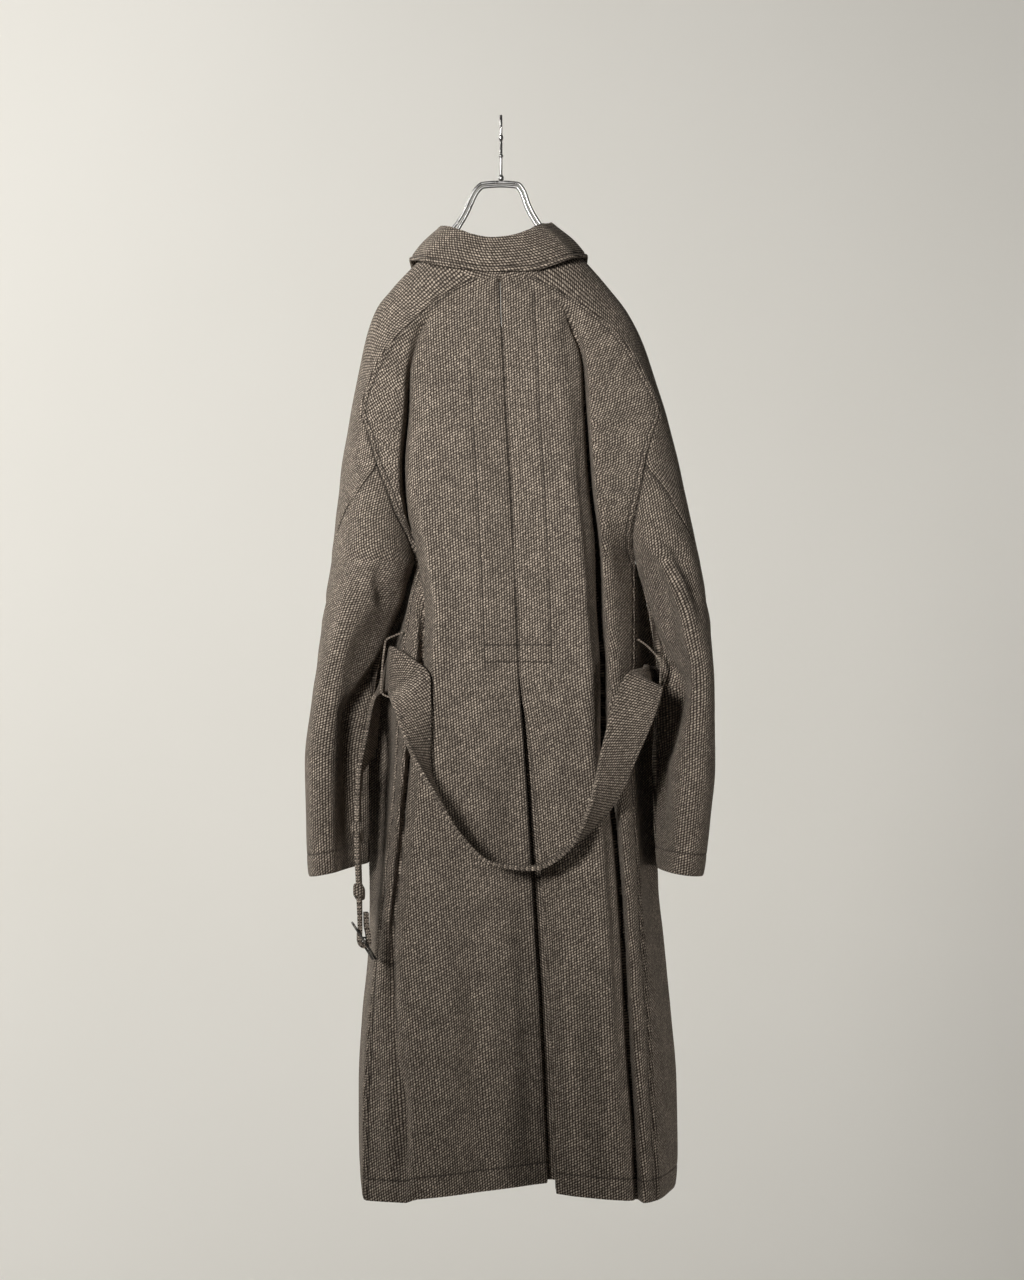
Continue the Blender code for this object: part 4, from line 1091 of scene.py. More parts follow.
def plaster():
    """Plain pale studio ground."""
    w = Wiring("studio_ground")
    w.put("Base Color", w.mix(w.noise(w.place(), 1.4), (0.80, 0.785, 0.745), (0.83, 0.815, 0.78)))
    w.put("Roughness", 0.95)
    w.put("Specular IOR Level", 0.1)
    return w.material


# Pieces

COAT = "coat"


def add(obj, nodes, body=COAT):
    """Let a piece stand for its solids and move with its body."""
    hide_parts(*nodes)
    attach(obj, body)


TWEED = tweed()
THREAD = thread()
CHROME_WIRE = chrome()
BUCKLE_METAL = gunmetal()
BAR_LINES = [-632.7, -652.6]
PANEL_TOP = {"left": -283.0, "right": -206.0}
PANEL_DEPTH = 1.4
PANEL_SHARE = 0.75
PANEL_FADE = (3.0, 6.0)
HEM_COLUMN = 20
BACK_STEPS = (26,) * 6
FRONT_STEPS = (8, 26, 16, 30, 20, 20)
FRONT_EDGE = (0.0, 0.5, 1.2, 2.4, 4.5, 6.1, 6.6, 7.0, 7.4, 7.9, 9.0)
SEWN_EDGE = tuple(reversed(PLAIN_EDGE))
BODY = with_lines(refine(UPPER_LEVELS + LOWER_LEVELS, ROW_STEP), BAR_LINES + [HEM_Z + HEM_STITCH])
ARM = with_lines(refine(UPPER_LEVELS + SLEEVE_LEVELS, ROW_STEP), [CUFF_Z + CUFF_STITCH])
ELBOW_ROW = BODY.index(ELBOW_TOP_Z)
ARM_ROW = BODY.index(UNDERARM_Z)
PLEAT_ROW = BODY.index(PLEAT_TOP_Z)
FOOT_ROWS = 6


def body_cloths(side):
    """Back and front of one side."""
    back_rows = [space(back_row(side, z, BACK_STEPS), FREE_EDGE, True, SEAM_EDGE, (8, 40)) for z in BODY]
    front_rows = [space(front_row(side, z, FRONT_STEPS), FRONT_EDGE, False, SEAM_EDGE, (44,)) for z in BODY]
    return Cloth(back_rows, -OUT[side]), Cloth(front_rows, OUT[side])


def arm_cloths(side):
    """Top and back half of one sleeve."""
    top_rows = []
    under_rows = []
    for z in ARM:
        start = seam_turn(side, z)
        split = elbow_turn(side, z) if z <= ELBOW_TOP_Z else start
        curve = np.array([sleeve_point(side, z, a) for a in np.linspace(split, 2 * math.pi - start, 110)])
        top_rows.append(space(curve, SEWN_EDGE, False, PLAIN_EDGE, (54,)))
        if z <= ELBOW_TOP_Z:
            curve = np.array([sleeve_point(side, z, a) for a in np.linspace(start, split, 80)])
            under_rows.append(space(curve, SEWN_EDGE, False, PLAIN_EDGE, (32,)))
    cloths = tuple(Cloth(rows, -OUT[side], len(rows[0]) // 2) for rows in (top_rows, under_rows))
    for cloth in cloths:
        cloth.slant_weave()
    return cloths


def close(body, row, sleeve, sleeve_row, edge, share):
    """Bring the edges of body and sleeve together at one level."""
    middle = 0.5 * (body.points[row, -1] + sleeve.points[sleeve_row, edge])
    body.points[row, -1] += share * (middle - body.points[row, -1])
    sleeve.points[sleeve_row, edge] += share * (middle - sleeve.points[sleeve_row, edge])


def sew_side(back, front, top, under):
    """Raglan, armhole, side, underarm and elbow seams, with body and sleeve closed at the foot."""
    under_row = ARM_ROW - ELBOW_ROW
    for step in range(FOOT_ROWS):
        close(back, ARM_ROW + step, under, under_row + step, 0, 1.0 - step / FOOT_ROWS)
        close(front, ARM_ROW + step, top, ARM_ROW + step, -1, 1.0 - step / FOOT_ROWS)
    sew(back, (-1, 0, ELBOW_ROW), top, (0, 0, ELBOW_ROW))
    sew(back, (-1, ELBOW_ROW, ARM_ROW), under, (0, 0, under_row))
    sew(front, (-1, 0, ARM_ROW), top, (-1, 0, ARM_ROW))
    sew(back, (-1, ARM_ROW), front, (-1, ARM_ROW))
    sew(under, (0, under_row), top, (-1, ARM_ROW))
    sew(under, (-1,), top, (0, ELBOW_ROW))


# Creases: piece, side from which it is seen, depth (a ridge where below nought), width and points
CREASES = (
    ("back_left", "y-", 3, 12, ((-60, -533), (-50, -627), (-46, -768), (-48, -874))),
    ("back_left", "y-", 6, 9, ((-114, -1038), (-114, -1180), (-114, -1289))),
    ("back_left", "y-", -5, 18, ((-71, -909), (-64, -1050), (-67, -1285))),
    ("back_left", "y-", 5, 12, ((-36, -980), (-27, -1121), (-22, -1279))),
    ("back_left", "y-", -2.5, 11, ((8, -921), (18, -1074), (25, -1268))),
    ("back_left", "y-", 3, 8, ((-144, -1062), (-149, -1168), (-149, -1285))),
    ("back_left", "y-", -4, 9, ((20, -672), (36, -960), (52, -1300))),
    ("back_right", "y-", 4, 10, ((36, -690), (52, -960), (70, -1300))),
    ("back_right", "y-", 7, 10, ((70, -180), (84, -300), (98, -440), (112, -560), (121, -664), (130, -850),
                                 (142, -1050), (156, -1290))),
    ("back_left", "y-", 4, 8, ((-88, -200), (-92, -300), (-99, -500), (-86, -597), (-105, -800),
                               (-129, -1025), (-133, -1150))),
    ("back_right", "y-", -2.5, 11, ((70, -509), (74, -650), (72, -791))),
    ("back_right", "y-", 5, 11, ((86, -921), (93, -1097), (100, -1281))),
    ("back_right", "y-", -4, 9, ((116, -1027), (121, -1156), (126, -1285))),
    ("back_right", "y-", 3, 8, ((173, -968), (183, -1121), (187, -1279))),
    ("sleeve_left", "y-", 7, 7, ((-139, -526), (-144, -561), (-135, -591))),
    ("sleeve_left", "y-", -5, 7, ((-114, -532), (-122, -567), (-136, -601))),
    ("sleeve_left", "y-", -4, 10, ((-177, -567), (-184, -609), (-196, -662))),
    ("sleeve_left", "x+", -4, 16, ((20, -500), (27, -533), (34, -570))),
    ("back_left", "x-", -3, 16, ((15, -500), (24, -533), (30, -570))),
    ("sleeve_left", "y-", -6, 9, ((-98, -535), (-111, -565), (-127, -597), (-144, -632), (-164, -667),
                                  (-186, -700))),
    ("sleeve_left", "y-", 12, 10, ((-98, -558), (-123, -615), (-142, -652), (-163, -686), (-178, -712),
                                 (-179, -793), (-177, -898))),
    ("sleeve_right", "y-", 6, 8, ((183, -496), (208, -523), (227, -561), (239, -605))),
    ("sleeve_right", "y-", -6, 9, ((165, -503), (190, -526), (208, -558), (220, -590), (227, -639))),
    ("sleeve_right", "y-", 6, 9, ((175, -532), (189, -565), (201, -605), (210, -651))),
    ("sleeve_right", "y-", 15, 11, ((169, -570), (180, -620), (197, -658), (209, -681), (197, -738),
                                  (187, -772), (188, -876))),
    ("sleeve_left", "x-", 3, 9, ((-30, -560), (-8, -585), (25, -600))),
    ("sleeve_left", "x-", 3, 9, ((30, -620), (5, -650), (-25, -668))),
    ("sleeve_left", "y+", 3.5, 9, ((-120, -560), (-150, -600), (-195, -640))),
    ("sleeve_left", "y+", 3, 10, ((-150, -640), (-180, -700), (-210, -780))),
    ("sleeve_right", "x+", 3, 9, ((-30, -560), (-5, -590), (25, -610))),
    ("sleeve_right", "x+", 3, 9, ((28, -640), (0, -665), (-25, -690))),
    ("sleeve_right", "y+", 3.5, 9, ((175, -560), (205, -610), (235, -660))),
    ("sleeve_right", "y+", 3, 10, ((190, -650), (215, -720), (228, -800))),
    ("front_left", "y+", 4, 14, ((-70, -420), (-78, -640), (-92, -900), (-100, -1230))),
    ("front_left", "y+", -4, 16, ((-110, -520), (-120, -800), (-130, -1240))),
    ("front_left", "y+", 3.5, 12, ((-30, -700), (-36, -960), (-44, -1260))),
    ("front_left", "y+", 3, 9, ((-105, -480), (-85, -560), (-50, -640))),
    ("front_right", "y+", 4, 14, ((80, -400), (92, -640), (104, -900), (118, -1230))),
    ("front_right", "y+", -4, 15, ((130, -560), (146, -860), (160, -1240))),
    ("front_right", "y+", 3, 12, ((50, -760), (56, -1000), (60, -1250))),
    ("front_right", "y+", 3, 9, ((150, -490), (122, -570), (84, -640))),
)


def press(name, cloth):
    """Listed creases of one piece."""
    for owner, face, depth, width, points in CREASES:
        if name.startswith(owner):
            cloth.crease(points, depth, width, face)


def line_of(cloth, outer, rows, columns):
    """Points and directions along part of a grid."""
    picks = [(i, j) for i in rows for j in columns]
    return np.array([outer[i, j] for i, j in picks]), np.array([cloth.normals[i, j] for i, j in picks])


def nearest(values, wanted):
    """Place of the value closest to the one wanted."""
    return int(np.argmin(np.abs(values - wanted)))


def edges(cloth, hem_at):
    """Roll a panel's edges in, and draw in the stitched line of its hem."""
    cloth.roll(cloth.first)
    cloth.roll(cloth.last)
    cloth.roll(cloth.up, HEM_ROLL)
    cloth.groove(cloth.up, hem_at)


def dress_panel(name, cloth, hem_at, runs):
    """Crease a panel and build it with its stitching along the hem and along further runs of its grid."""
    cloth.unevenness(HANG_WAVES)
    press(name, cloth)
    outer = cloth.outer()
    hem = nearest(cloth.up[:, HEM_COLUMN], hem_at)
    runs = runs + [([hem], range(outer.shape[1]))]
    sewing = stitches(f"stitching_{name}", [line_of(cloth, outer, *way) for way in runs])
    obj = shell(f"{name}_cloth", outer, cloth.inner(SHELL), cloth.u, cloth.v, cloth.facing, seam_shade=cloth.seam_shade)
    add(obj, [name])


def dress_body(side, back, front):
    """Back and front of one side, with the back's stitched panel and bar."""
    rows = range(len(BODY))
    for cloth in (back, front):
        edges(cloth, HEM_STITCH)
        cloth.groove(cloth.last, SEAM_STITCH)
    z = back.points[:, :, 2]
    foot_fade, top_fade = PANEL_FADE
    # Share of the panel's stitched line between the pleat top and the panel top: it sets the line's depth and
    # its painted shade
    seam_shade = 1.0 / (1.0 + np.exp((PLEAT_TOP_Z - z) / foot_fade))
    seam_shade = seam_shade / (1.0 + np.exp((z - PANEL_TOP[side]) / top_fade))
    back.stitch(back.first - PANEL_LINE, PANEL_DEPTH, PANEL_SHARE * seam_shade)
    for level in BAR_LINES:
        back.stitch(z - level, PANEL_DEPTH, back.first < PANEL_LINE)
    panel = nearest(back.first[PLEAT_ROW], PANEL_LINE)
    top, *bars = (nearest(z[:, 0], level) for level in (PANEL_TOP[side], *BAR_LINES))
    runs = [(rows, [nearest(back.last[-1], SEAM_STITCH)]), (range(top, bars[1] + 1), [panel])]
    dress_panel(f"back_{side}", back, HEM_STITCH, runs + [([bar], range(panel + 1)) for bar in bars])
    front.groove(front.first, SEAM_STITCH)
    runs = [(rows, [nearest(edge[-1], SEAM_STITCH)]) for edge in (front.last, front.first)]
    dress_panel(f"front_{side}", front, HEM_STITCH, runs)


def dress_arm(side, top, under):
    """Both halves of one sleeve."""
    for name, cloth in ((f"sleeve_{side}_top", top), (f"sleeve_{side}_back", under)):
        edges(cloth, CUFF_STITCH)
        dress_panel(name, cloth, CUFF_STITCH, [])


def band(name, cloth, half):
    """Shell with its cloth in the middle, so far from it on either side."""
    return shell(name, cloth.points + cloth.normals * half, cloth.points - cloth.normals * half,
                 cloth.u, cloth.v, 1.0)


# Pleat and collar

PLEAT_ROW_STEP = 9.0
PLEAT_STEPS = (9, 4, 4, 9, 9, 4, 4, 9)
PLEAT_CLEAR = 1.0


def pleat_cloth():
    """Cloth folded in behind both back edges, with its middle across the opening."""
    rows = []
    levels = (PLEAT_TOP_Z + PLEAT_OVERLAP, *LOWER_LEVELS[4:-1], HEM_Z + PLEAT_OVERLAP)
    for z in refine(levels, PLEAT_ROW_STEP):
        centres = {}
        halves = {}
        for side, out in OUT.items():
            centre, beside = back_stations(side, z)[:2]
            rise = (beside[1] - centre[1]) / (beside[0] - centre[0])
            half = [(centre[0] + out * PLEAT_CLEAR, centre[1] + PLEAT_LAYER, z)]
            for reach, layer in PLEAT_FOLD:
                x = out * PLEAT_DEPTH * reach
                half.append((centre[0] + x, centre[1] + rise * x + layer * PLEAT_LAYER, z))
            centres[side] = centre
            halves[side] = half
        inside = max(centre[1] for centre in centres.values()) + 2 * PLEAT_LAYER + PLEAT_CLEAR
        middle = (0.5 * (centres["left"][0] + centres["right"][0]), inside, z)
        rows.append(through(halves["left"] + [middle] + halves["right"][::-1], PLEAT_STEPS))
    return Cloth(rows, 1.0, sum(PLEAT_STEPS[:4]))


COLLAR_COUNT = 181
COLLAR_STEPS = (6, 10, 10, 16, 16, 12, 24)
NECK_EDGE = (0.0, 1.0, 2.5)
FALL_EDGE = (8.0, 6.9, 6.4, 6.0, 5.6, 5.1, 3.5, 2.0, 1.1, 0.5, 0.0)
COLLAR_ROLL = 1.0
COLLAR_GROOVE = 1.7


def collar_cloth():
    """Stand and fall of the collar, from the tucked-in neck edge over the fold to the free edge."""
    rows = []
    for s in np.linspace(0.0, COLLAR_ROWS[-1][0], COLLAR_COUNT):
        neck, fold, fall = (np.array([COLLAR.at(f"{part}_{axis}", s) for axis in "xyz"])
                            for part in ("neck", "fold", "fall"))
        away = np.append(unit(fold[:2] - NECK_MIDDLE), 0.0)
        drop = np.array((0.0, 0.0, ROLL_DROP))
        neck[2] += NECK_GAP
        stations = [neck - TUCK_IN * away - TUCK_DOWN, neck, 0.5 * (neck + fold) - away,
                    fold - ROLL * away - drop, fold, fold + ROLL * away - drop,
                    0.5 * (fold + fall) + FALL_SWELL * away, fall]
        rows.append(space(through(stations, COLLAR_STEPS), NECK_EDGE, False, FALL_EDGE, (26,)))
    return Cloth(rows, 1.0, 20)


def dress_pleat():
    cloth = pleat_cloth()
    obj = band("pleat_cloth", cloth, 1.0)
    add(obj, ["pleat_underlay"])


def dress_collar():
    cloth = collar_cloth()
    cloth.roll(cloth.last, COLLAR_ROLL)
    cloth.groove(cloth.last, COLLAR_STITCH, COLLAR_GROOVE)
    cloth.unevenness(COLLAR_WAVES)
    half = 0.5 * COLLAR_WALL
    outer = cloth.outer() + half * cloth.normals
    inner = cloth.points - cloth.normals * (half + 0.5 * cloth.lift[:, :, None])
    seam = nearest(cloth.last[COLLAR_COUNT // 2], COLLAR_STITCH)
    sewing = stitches("stitching_collar", [line_of(cloth, outer, range(len(outer)), [seam])])
    obj = shell("collar_cloth", outer, inner, cloth.u, cloth.v, 1.0, seam_shade=cloth.seam_shade)
    add(obj, ["collar"])


# Belt

BELT_PLACES = (0, 0.3, 0.8, 1.6, 3.0, 4.6, 5.1, 5.5, 5.9, 6.4, 8, 11, 14, 17.5, 21)
TAIL_MIDDLE = 18.0
TAIL_FOOT = 7.0
TAIL_STEPS = 5
TURN_STEPS = 3
BELT_STEPS = 9
BELT_EDGE = 1.8
BELT_GROOVE = 0.45
BELT_GROOVE_WIDE = 0.8
BELT_STITCH_ROW = 40
EDGE_THIN = 0.25


def half_thickness(cloth, thick, radius):
    """Half of a strap's thickness at each point, with its edges rounded over a radius."""
    short = np.clip(1.0 - np.minimum(cloth.first, cloth.last) / radius, 0.0, 1.0)
    return 0.5 * thick * (EDGE_THIN + (1.0 - EDGE_THIN) * np.sqrt(1.0 - short ** 2))


def belt_cloth():
    """Belt from its folded end to its last row but one, and which faces stay beside the prong's slot."""
    turn = FOLD_INNER + 0.5 * BELT_THICK
    reach = 0.5 * BELT_WIDTH * unit(np.array(BAR_WAY))
    tail = [(TAIL_LEAN - 0.6, FOLD_TAIL), (TAIL_LEAN - 0.4, TAIL_MIDDLE), (turn - 0.5, TAIL_FOOT)]
    arc = arc_points(turn, np.radians(np.arange(0, -181, -30)))
    leg = [(-turn, TAIL_FOOT)]
    rows = []
    for x, z in tail + arc + leg:
        place = np.array(BAR) + (x, 0.0, z)
        rows.append((*(place - reach), *(place + reach)))
    steps = [TAIL_STEPS] * (len(tail) - 1) + [TURN_STEPS] * (len(arc) + len(leg)) + [TAIL_STEPS]
    sides = through(rows + list(BELT_ROWS), steps + [BELT_STEPS] * (len(BELT_ROWS) - 2))
    places = (*BELT_PLACES, 0.5 * BELT_WIDTH, *(BELT_WIDTH - place for place in reversed(BELT_PLACES)))
    shares = np.array(places) / BELT_WIDTH
    near = sides[:, None, :3]
    far = sides[:, None, 3:]
    cloth = Cloth(near + (far - near) * shares[None, :, None], 1.0, len(BELT_PLACES))
    first = TAIL_STEPS * (len(tail) - 1)
    last = first + TURN_STEPS * (len(arc) + 1)

    def keep(i, j):
        return not (first <= i < last and abs(shares[j] + shares[j + 1] - 1.0) < 2 * SLOT_HALF / BELT_WIDTH)

    return cloth, keep


def dress_belt():
    cloth, keep = belt_cloth()
    edge = np.minimum(cloth.first, cloth.last)
    groove = BELT_GROOVE * bell(edge - BELT_STITCH, BELT_GROOVE_WIDE)
    half = (half_thickness(cloth, BELT_THICK, BELT_EDGE) - groove)[:, :, None]
    cloth.unevenness(BELT_WAVES)
    outer = cloth.outer() + cloth.normals * half
    inner = cloth.outer() - cloth.normals * half
    lines = []
    for place in (BELT_STITCH, BELT_WIDTH - BELT_STITCH):
        column_at = nearest(cloth.first[BELT_STITCH_ROW], place)
        for face, way in ((outer, 1.0), (inner, -1.0)):
            points, normals = line_of(cloth, face, range(len(face)), [column_at])
            lines.append((points, way * normals))
    sewing = stitches("stitching_belt", lines)
    obj = shell("belt_cloth", outer, inner, cloth.v, cloth.u, 1.0, keep)
    add(obj, ["belt"])


def ring(points, count):
    """Closed outline with evenly spaced points."""
    closed = np.array(list(points) + [points[0]], float)
    closed = np.concatenate((closed, np.zeros((len(closed), 1))), axis=1)
    return resample(closed, np.arange(count) * length(closed) / count)[:, :2]


KEEPER_POINTS = 96
KEEPER_STEP = 1.25
KEEPER_CORNERS = (2.5, 0.8)
KEEPER_SHARES = np.array((0.0, 0.04, 0.12, 0.25, 0.5, 0.75, 0.88, 0.96, 1.0))
KEEPER_THIN = 0.45


def dress_keeper(name, level, height):
    """Cloth keeper: a closed band round the belt with rounded edges."""
    middle, slope = belt_frame(level)
    along = unit(np.array((0.0, slope, 1.0)))
    sideways = np.array((1.0, 0.0, 0.0))
    across = np.cross(along, sideways)
    room = 0.5 * np.array((BELT_THICK, BELT_WIDTH)) + KEEPER_ROOM
    outline_out, outline_in = (ring(rounded(*(room + wall), corner), KEEPER_POINTS)
                               for wall, corner in zip((KEEPER_WALL, 0.0), KEEPER_CORNERS))
    crown = 1.0 - np.abs(2 * KEEPER_SHARES - 1.0) ** 5
    feet = middle + along * (height * (0.5 - KEEPER_SHARES))[:, None]
    frame_axes = np.stack((sideways, across))
    full = (KEEPER_THIN + (1.0 - KEEPER_THIN) * crown)[:, None, None]
    outer = feet[:, None] + (outline_in + (outline_out - outline_in) * full) @ frame_axes
    inner = feet[:, None] + np.repeat((outline_in @ frame_axes)[None], len(feet), axis=0)
    u, v = np.meshgrid(np.arange(KEEPER_POINTS + 1) * KEEPER_STEP, KEEPER_SHARES * height)
    turn = np.cross(outer[4, 1] - outer[4, 0], outer[5, 0] - outer[4, 0]) @ (outer[4, 0] - middle)
    obj = shell(name.replace("belt_", "") + "_cloth", outer, inner, u, v, math.copysign(1.0, turn), wrap=True)
    add(obj, [name])


LOOP_STEPS = (10, 10, 14, 10, 10)
LOOP_PLACES = (0.0, 0.25, 0.7, 1.5, 2.2, 4.5, 6.8, 7.5, 8.3, 8.75, 9.0)
LOOP_EDGE = 1.2


def dress_loop(side):
    """Side loop: a narrow strap with rounded edges."""
    reach = LOOP_REACH[side]
    drop_whole = LOOP_DROP[side]
    shoulder = LOOP_SHOULDER[side]
    profile = ((LOOP_FOOT, 0.0), (0.5 * reach, 0.3 * shoulder), (reach, shoulder), (reach, drop_whole - 9.0),
               (0.6 * reach, drop_whole - 2.0), (LOOP_FOOT, drop_whole))
    rows = []
    for stand, _, drop in through([(a, 0.0, b) for a, b in profile], LOOP_STEPS):
        z = LOOP_TOP_Z[side] - drop
        seam = back_stations(side, z)[6]
        y = seam[1] - LOOP_BEHIND - 0.5 * LOOP_WIDTH
        rows.append([(seam[0] + OUT[side] * stand, y + place, z) for place in LOOP_PLACES])
    cloth = Cloth(rows, 1.0, len(LOOP_PLACES) // 2)
    half = half_thickness(cloth, LOOP_THICK, LOOP_EDGE)[:, :, None]
    add(band(f"loop_{side}", cloth, half), [f"belt_loop_{side}"])


# Hanger and buckle

END_CAP = ((0.6, 0.78), (0.9, 0.4))
WIRE_SIDES = 18
FERRULE_SIDES = 28


def tube(name, points, radii, sides=WIRE_SIDES):
    """Round wire along points, with its own radius at each and rounded ends."""
    line = np.array(points, float)
    radii = np.array(radii, float)
    ahead = run(line[:, None, :], 0)[:, 0]
    side = unit(np.cross(ahead, (0.0, 0.0, 1.0)) + np.cross(ahead, (0.31, 0.95, 0.0)) * 1e-3)
    up = np.cross(side, ahead)
    turns = np.arange(sides) * 2 * math.pi / sides
    caps = [(-1, push, wide) for push, wide in END_CAP]
    rings = [(0, -push, wide) for _, push, wide in reversed(caps)]
    rings += [(k, 0.0, 1.0) for k in range(len(line))] + caps
    vertices = []
    for k, push, wide in rings:
        centre = line[k] + ahead[k] * radii[k] * push
        for a in turns:
            spoke = math.cos(a) * side[k] + math.sin(a) * up[k]
            vertices.append(tuple((centre + radii[k] * wide * spoke) * MM))
    faces = [face[::-1] for face in wall_faces(0, len(rings), sides)]
    faces.append(tuple(range(sides)))
    faces.append(tuple(reversed(range(len(vertices) - sides, len(vertices)))))
    return piece(name, vertices, faces, CHROME_WIRE)


def dress_hanger():
    upper = through([(x, 0.0, z) for x, z in UPPER_WIRE], (8,) * (len(UPPER_WIRE) - 1))
    ahead = run(upper[:, None, :], 0)[:, 0]
    below = np.stack((ahead[:, 2], np.zeros(len(ahead)), -ahead[:, 0]), axis=1)
    spacing = WIRE_SPACING + WIRE_SPREAD * np.maximum(0.0, np.abs(upper[:, 0]) - LEG_X)
    lower = upper + below * spacing[:, None]
    for name, line in (("hanger_upper", upper), ("hanger_lower", lower)):
        add(tube(name, line, [WIRE] * len(line)), [f"{name}_wire"])
    shape = ((FERRULE_FOOT + 0.2, 2.2), (FERRULE_FOOT + 0.7, 3.2), (FERRULE_FOOT + 1.6, FERRULE_RADIUS),
             (FERRULE_TOP - 2.4, FERRULE_RADIUS), (FERRULE_TOP - 1.2, 2.9), (FERRULE_TOP - 0.4, 2.1))
    obj = tube("ferrule", [(0.0, 0.0, z) for z, _ in shape], [r for _, r in shape], FERRULE_SIDES)
    add(obj, ["hanger_ferrule"])
    crown = HOOK_WIRE - HOOK_RADIUS
    shaft = [(0, 0, SHAFT_Z), (0, 0, BEAD_Z - 3), (0, 0, BEAD_Z), (0, 0, BEAD_Z + 3), (0, 6, -32)]
    bend = [(0, HOOK_RADIUS * math.cos(a), crown + HOOK_RADIUS * math.sin(a))
            for a in np.radians(np.arange(-20, 181, 20))]
    tip = [(0, -HOOK_RADIUS + 0.3, TIP_Z + 5), (0, -HOOK_RADIUS + 0.6, TIP_Z + 2),
           (0, -HOOK_RADIUS + 0.8, TIP_Z), (0, -HOOK_RADIUS + 1.0, TIP_Z - 2.5)]
    swells = [1, 1, BEAD_SWELL, 1, 1] + [1] * len(bend) + [1, BEAD_SWELL, BEAD_SWELL, 1]
    stations = np.concatenate((np.array(shaft + bend + tip, float), np.array(swells, float)[:, None]), axis=1)
    smooth = through(stations, (5,) * (len(stations) - 1))
    add(tube("hook", smooth[:, :3], HOOK_WIRE * smooth[:, 3]), ["hanger_hook"])


def plate(name, loops, depth, edge, place):
    """Flat piece from closed outlines, with rounded edges, set in a frame of axes."""
    curve = bpy.data.curves.new(name, "CURVE")
    curve.dimensions = "2D"
    curve.fill_mode = "BOTH"
    curve.extrude = (0.5 * depth - edge) * MM
    curve.bevel_depth = edge * MM
    curve.bevel_resolution = 3
    curve.offset = -edge * MM
    for loop in loops:
        spline = curve.splines.new("POLY")
        spline.points.add(len(loop) - 1)
        for point, (x, y) in zip(spline.points, loop):
            point.co = (x * MM, y * MM, 0.0, 1.0)
        spline.use_cyclic_u = True
    curve.materials.append(BUCKLE_METAL)
    obj = place_object(name, curve)
    obj.matrix_world = place
    return obj


def dress_buckle():
    along = (math.sin(FRAME_TILT), 0.0, -math.cos(FRAME_TILT))
    front = -np.cross(along, unit(np.array(BAR_WAY)))
    half_x = 0.5 * FRAME_HEIGHT
    half_y = 0.5 * FRAME_WIDTH
    hole = 0.5 * (half_x - FRAME_RAIL - BAR_HALF)
    centre = BAR_HALF + hole
    loops = [rounded(half_x, half_y, 6.0, 0.0, 9)]
    loops += [rounded(hole, half_y - FRAME_RAIL, 2.0, sign * centre, 7) for sign in (1, -1)]
    obj = plate("buckle_rim", loops, FRAME_THICK, FRAME_BEVEL, axes(along, BAR_WAY, BAR))
    add(obj, ["buckle_frame"], "buckle")
    low = 0.5 * FRAME_THICK + SEAM_GAP
    high = low + 2 * PRONG_HALF
    first = math.asin(high / PRONG_EYE)
    last = 2 * math.pi + math.asin(low / PRONG_EYE)
    eye = arc_points(PRONG_EYE, np.linspace(first, last, 37))
    tip = half_x - 0.4
    shape = eye + [(tip, low), (tip, high - 0.9), (tip - 1.2, high)]
    hole_loop = arc_points(PRONG_HOLE, np.linspace(0, 2 * math.pi, 37)[:-1])
    obj = plate("prong_pin", (shape, hole_loop), PRONG_WIDTH, PRONG_BEVEL, axes(along, front, BAR))
    add(obj, ["buckle_prong"], "prong")


# Studio

GROUND_HALF = 12.0
GROUND_NEAR = -6.0
FLOOR_Z = -2.5
WALL_Y = 6.0
WALL_TOP = 3.5
SWEEP = 1.2
AIR_COLOUR = (1.0, 0.975, 0.94, 1.0)
AIR_STRENGTH = 0.075
LENS = 93.75
SENSOR = 36.0
EYE = (0.0132, -4.0, -0.6268)

# Lamps: name, place, target, size, power, colour, spread in degrees
LAMPS = (
    ("key", (-1.15, -3.2, -0.05), (-0.07, 0.0, -0.33), (0.6, 0.6), 6.1, (1.0, 0.985, 0.96), 38.0),
    ("wash", (-3.3, 0.6, 1.2), (-0.8, 6.0, 0.8), (1.4, 1.4), 300.0, (1.0, 0.985, 0.95), 180.0),
    ("fill", (2.4, -1.3, -1.3), (0.2, 0.0, -1.12), (0.8, 0.5), 0.9, (1.0, 0.97, 0.93), 40.0),
)


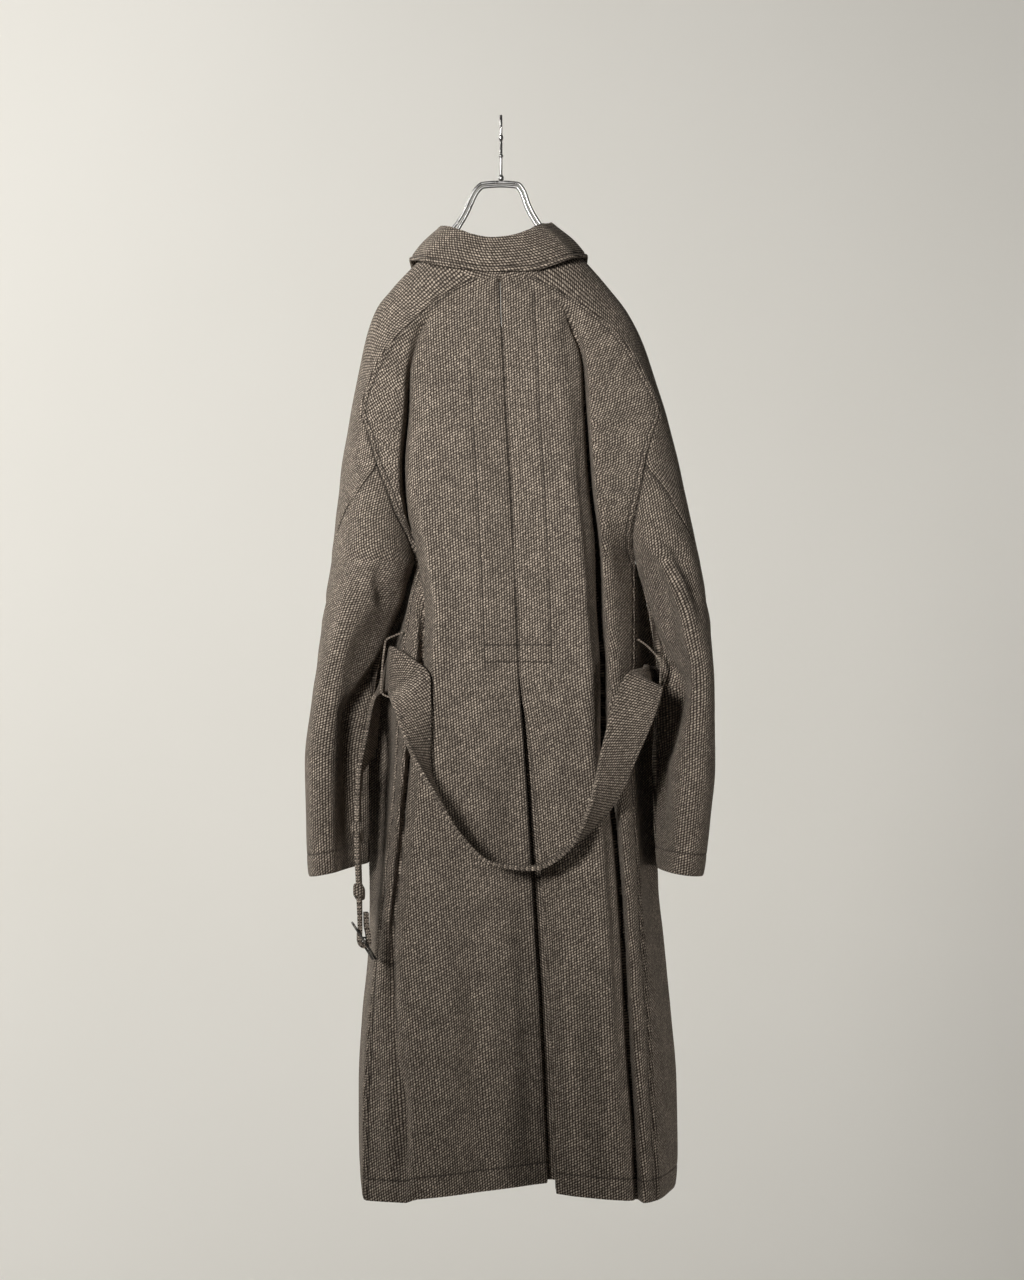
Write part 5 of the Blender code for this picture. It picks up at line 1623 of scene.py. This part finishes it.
def ground():
    """Floor that sweeps up into a wall behind the coat."""
    start = WALL_Y - SWEEP
    profile = [(GROUND_NEAR, FLOOR_Z), (start, FLOOR_Z)]
    profile += [(start + SWEEP * math.sin(a), FLOOR_Z + SWEEP - SWEEP * math.cos(a))
                for a in np.linspace(0.0, math.pi / 2, 24)[1:]]
    profile += [(WALL_Y, WALL_TOP)]
    vertices = [(x, y, z) for y, z in profile for x in (-GROUND_HALF, GROUND_HALF)]
    faces = [(2 * i, 2 * i + 1, 2 * i + 3, 2 * i + 2) for i in range(len(profile) - 1)]
    obj = piece("ground", vertices, faces, plaster())


def lamp(name, place, target, size, power, colour, spread):
    light = bpy.data.lights.new(name, "AREA")
    light.shape = "RECTANGLE"
    light.size, light.size_y = size
    light.energy = power
    light.spread = math.radians(spread)
    light.color = colour
    back = unit(np.array(place) - np.array(target))
    side = unit(np.cross((0.0, 0.0, 1.0), back))
    place_object(name, light).matrix_world = axes(side, np.cross(back, side), np.array(place) / MM)


def studio():
    """Ground, lamps, air and camera."""
    scene = bpy.context.scene
    ground()
    for row in LAMPS:
        lamp(*row)
    world = bpy.data.worlds.new("studio_air")
    world.use_nodes = True
    air = world.node_tree.nodes["Background"].inputs
    air["Color"].default_value = AIR_COLOUR
    air["Strength"].default_value = AIR_STRENGTH
    scene.world = world
    scene.view_settings.view_transform = "Standard"
    camera = bpy.data.cameras.new("camera")
    camera.lens = LENS
    camera.sensor_width = SENSOR
    scene.camera = place_object("camera", camera)
    scene.camera.location = EYE
    scene.camera.rotation_euler = (math.radians(90.0), 0.0, 0.0)


def main():
    cloths = {side: body_cloths(side) + arm_cloths(side) for side in OUT}
    for side in OUT:
        sew_side(*cloths[side])
    backs = [cloths[side][0] for side in OUT]
    middle = 0.5 * (backs[0].points[:PLEAT_ROW + 1, 0] + backs[1].points[:PLEAT_ROW + 1, 0])
    for back in backs:
        back.points[:PLEAT_ROW + 1, 0] = middle
    sew(backs[0], (0, 0, PLEAT_ROW + 1), backs[1], (0, 0, PLEAT_ROW + 1))
    for side in OUT:
        back, front, top, under = cloths[side]
        dress_body(side, back, front)
        dress_arm(side, top, under)
        dress_loop(side)
    dress_pleat()
    dress_collar()
    dress_belt()
    for name, (level, height) in KEEPER_ROWS.items():
        dress_keeper(name, level, height)
    dress_buckle()
    dress_hanger()
    studio()


main()
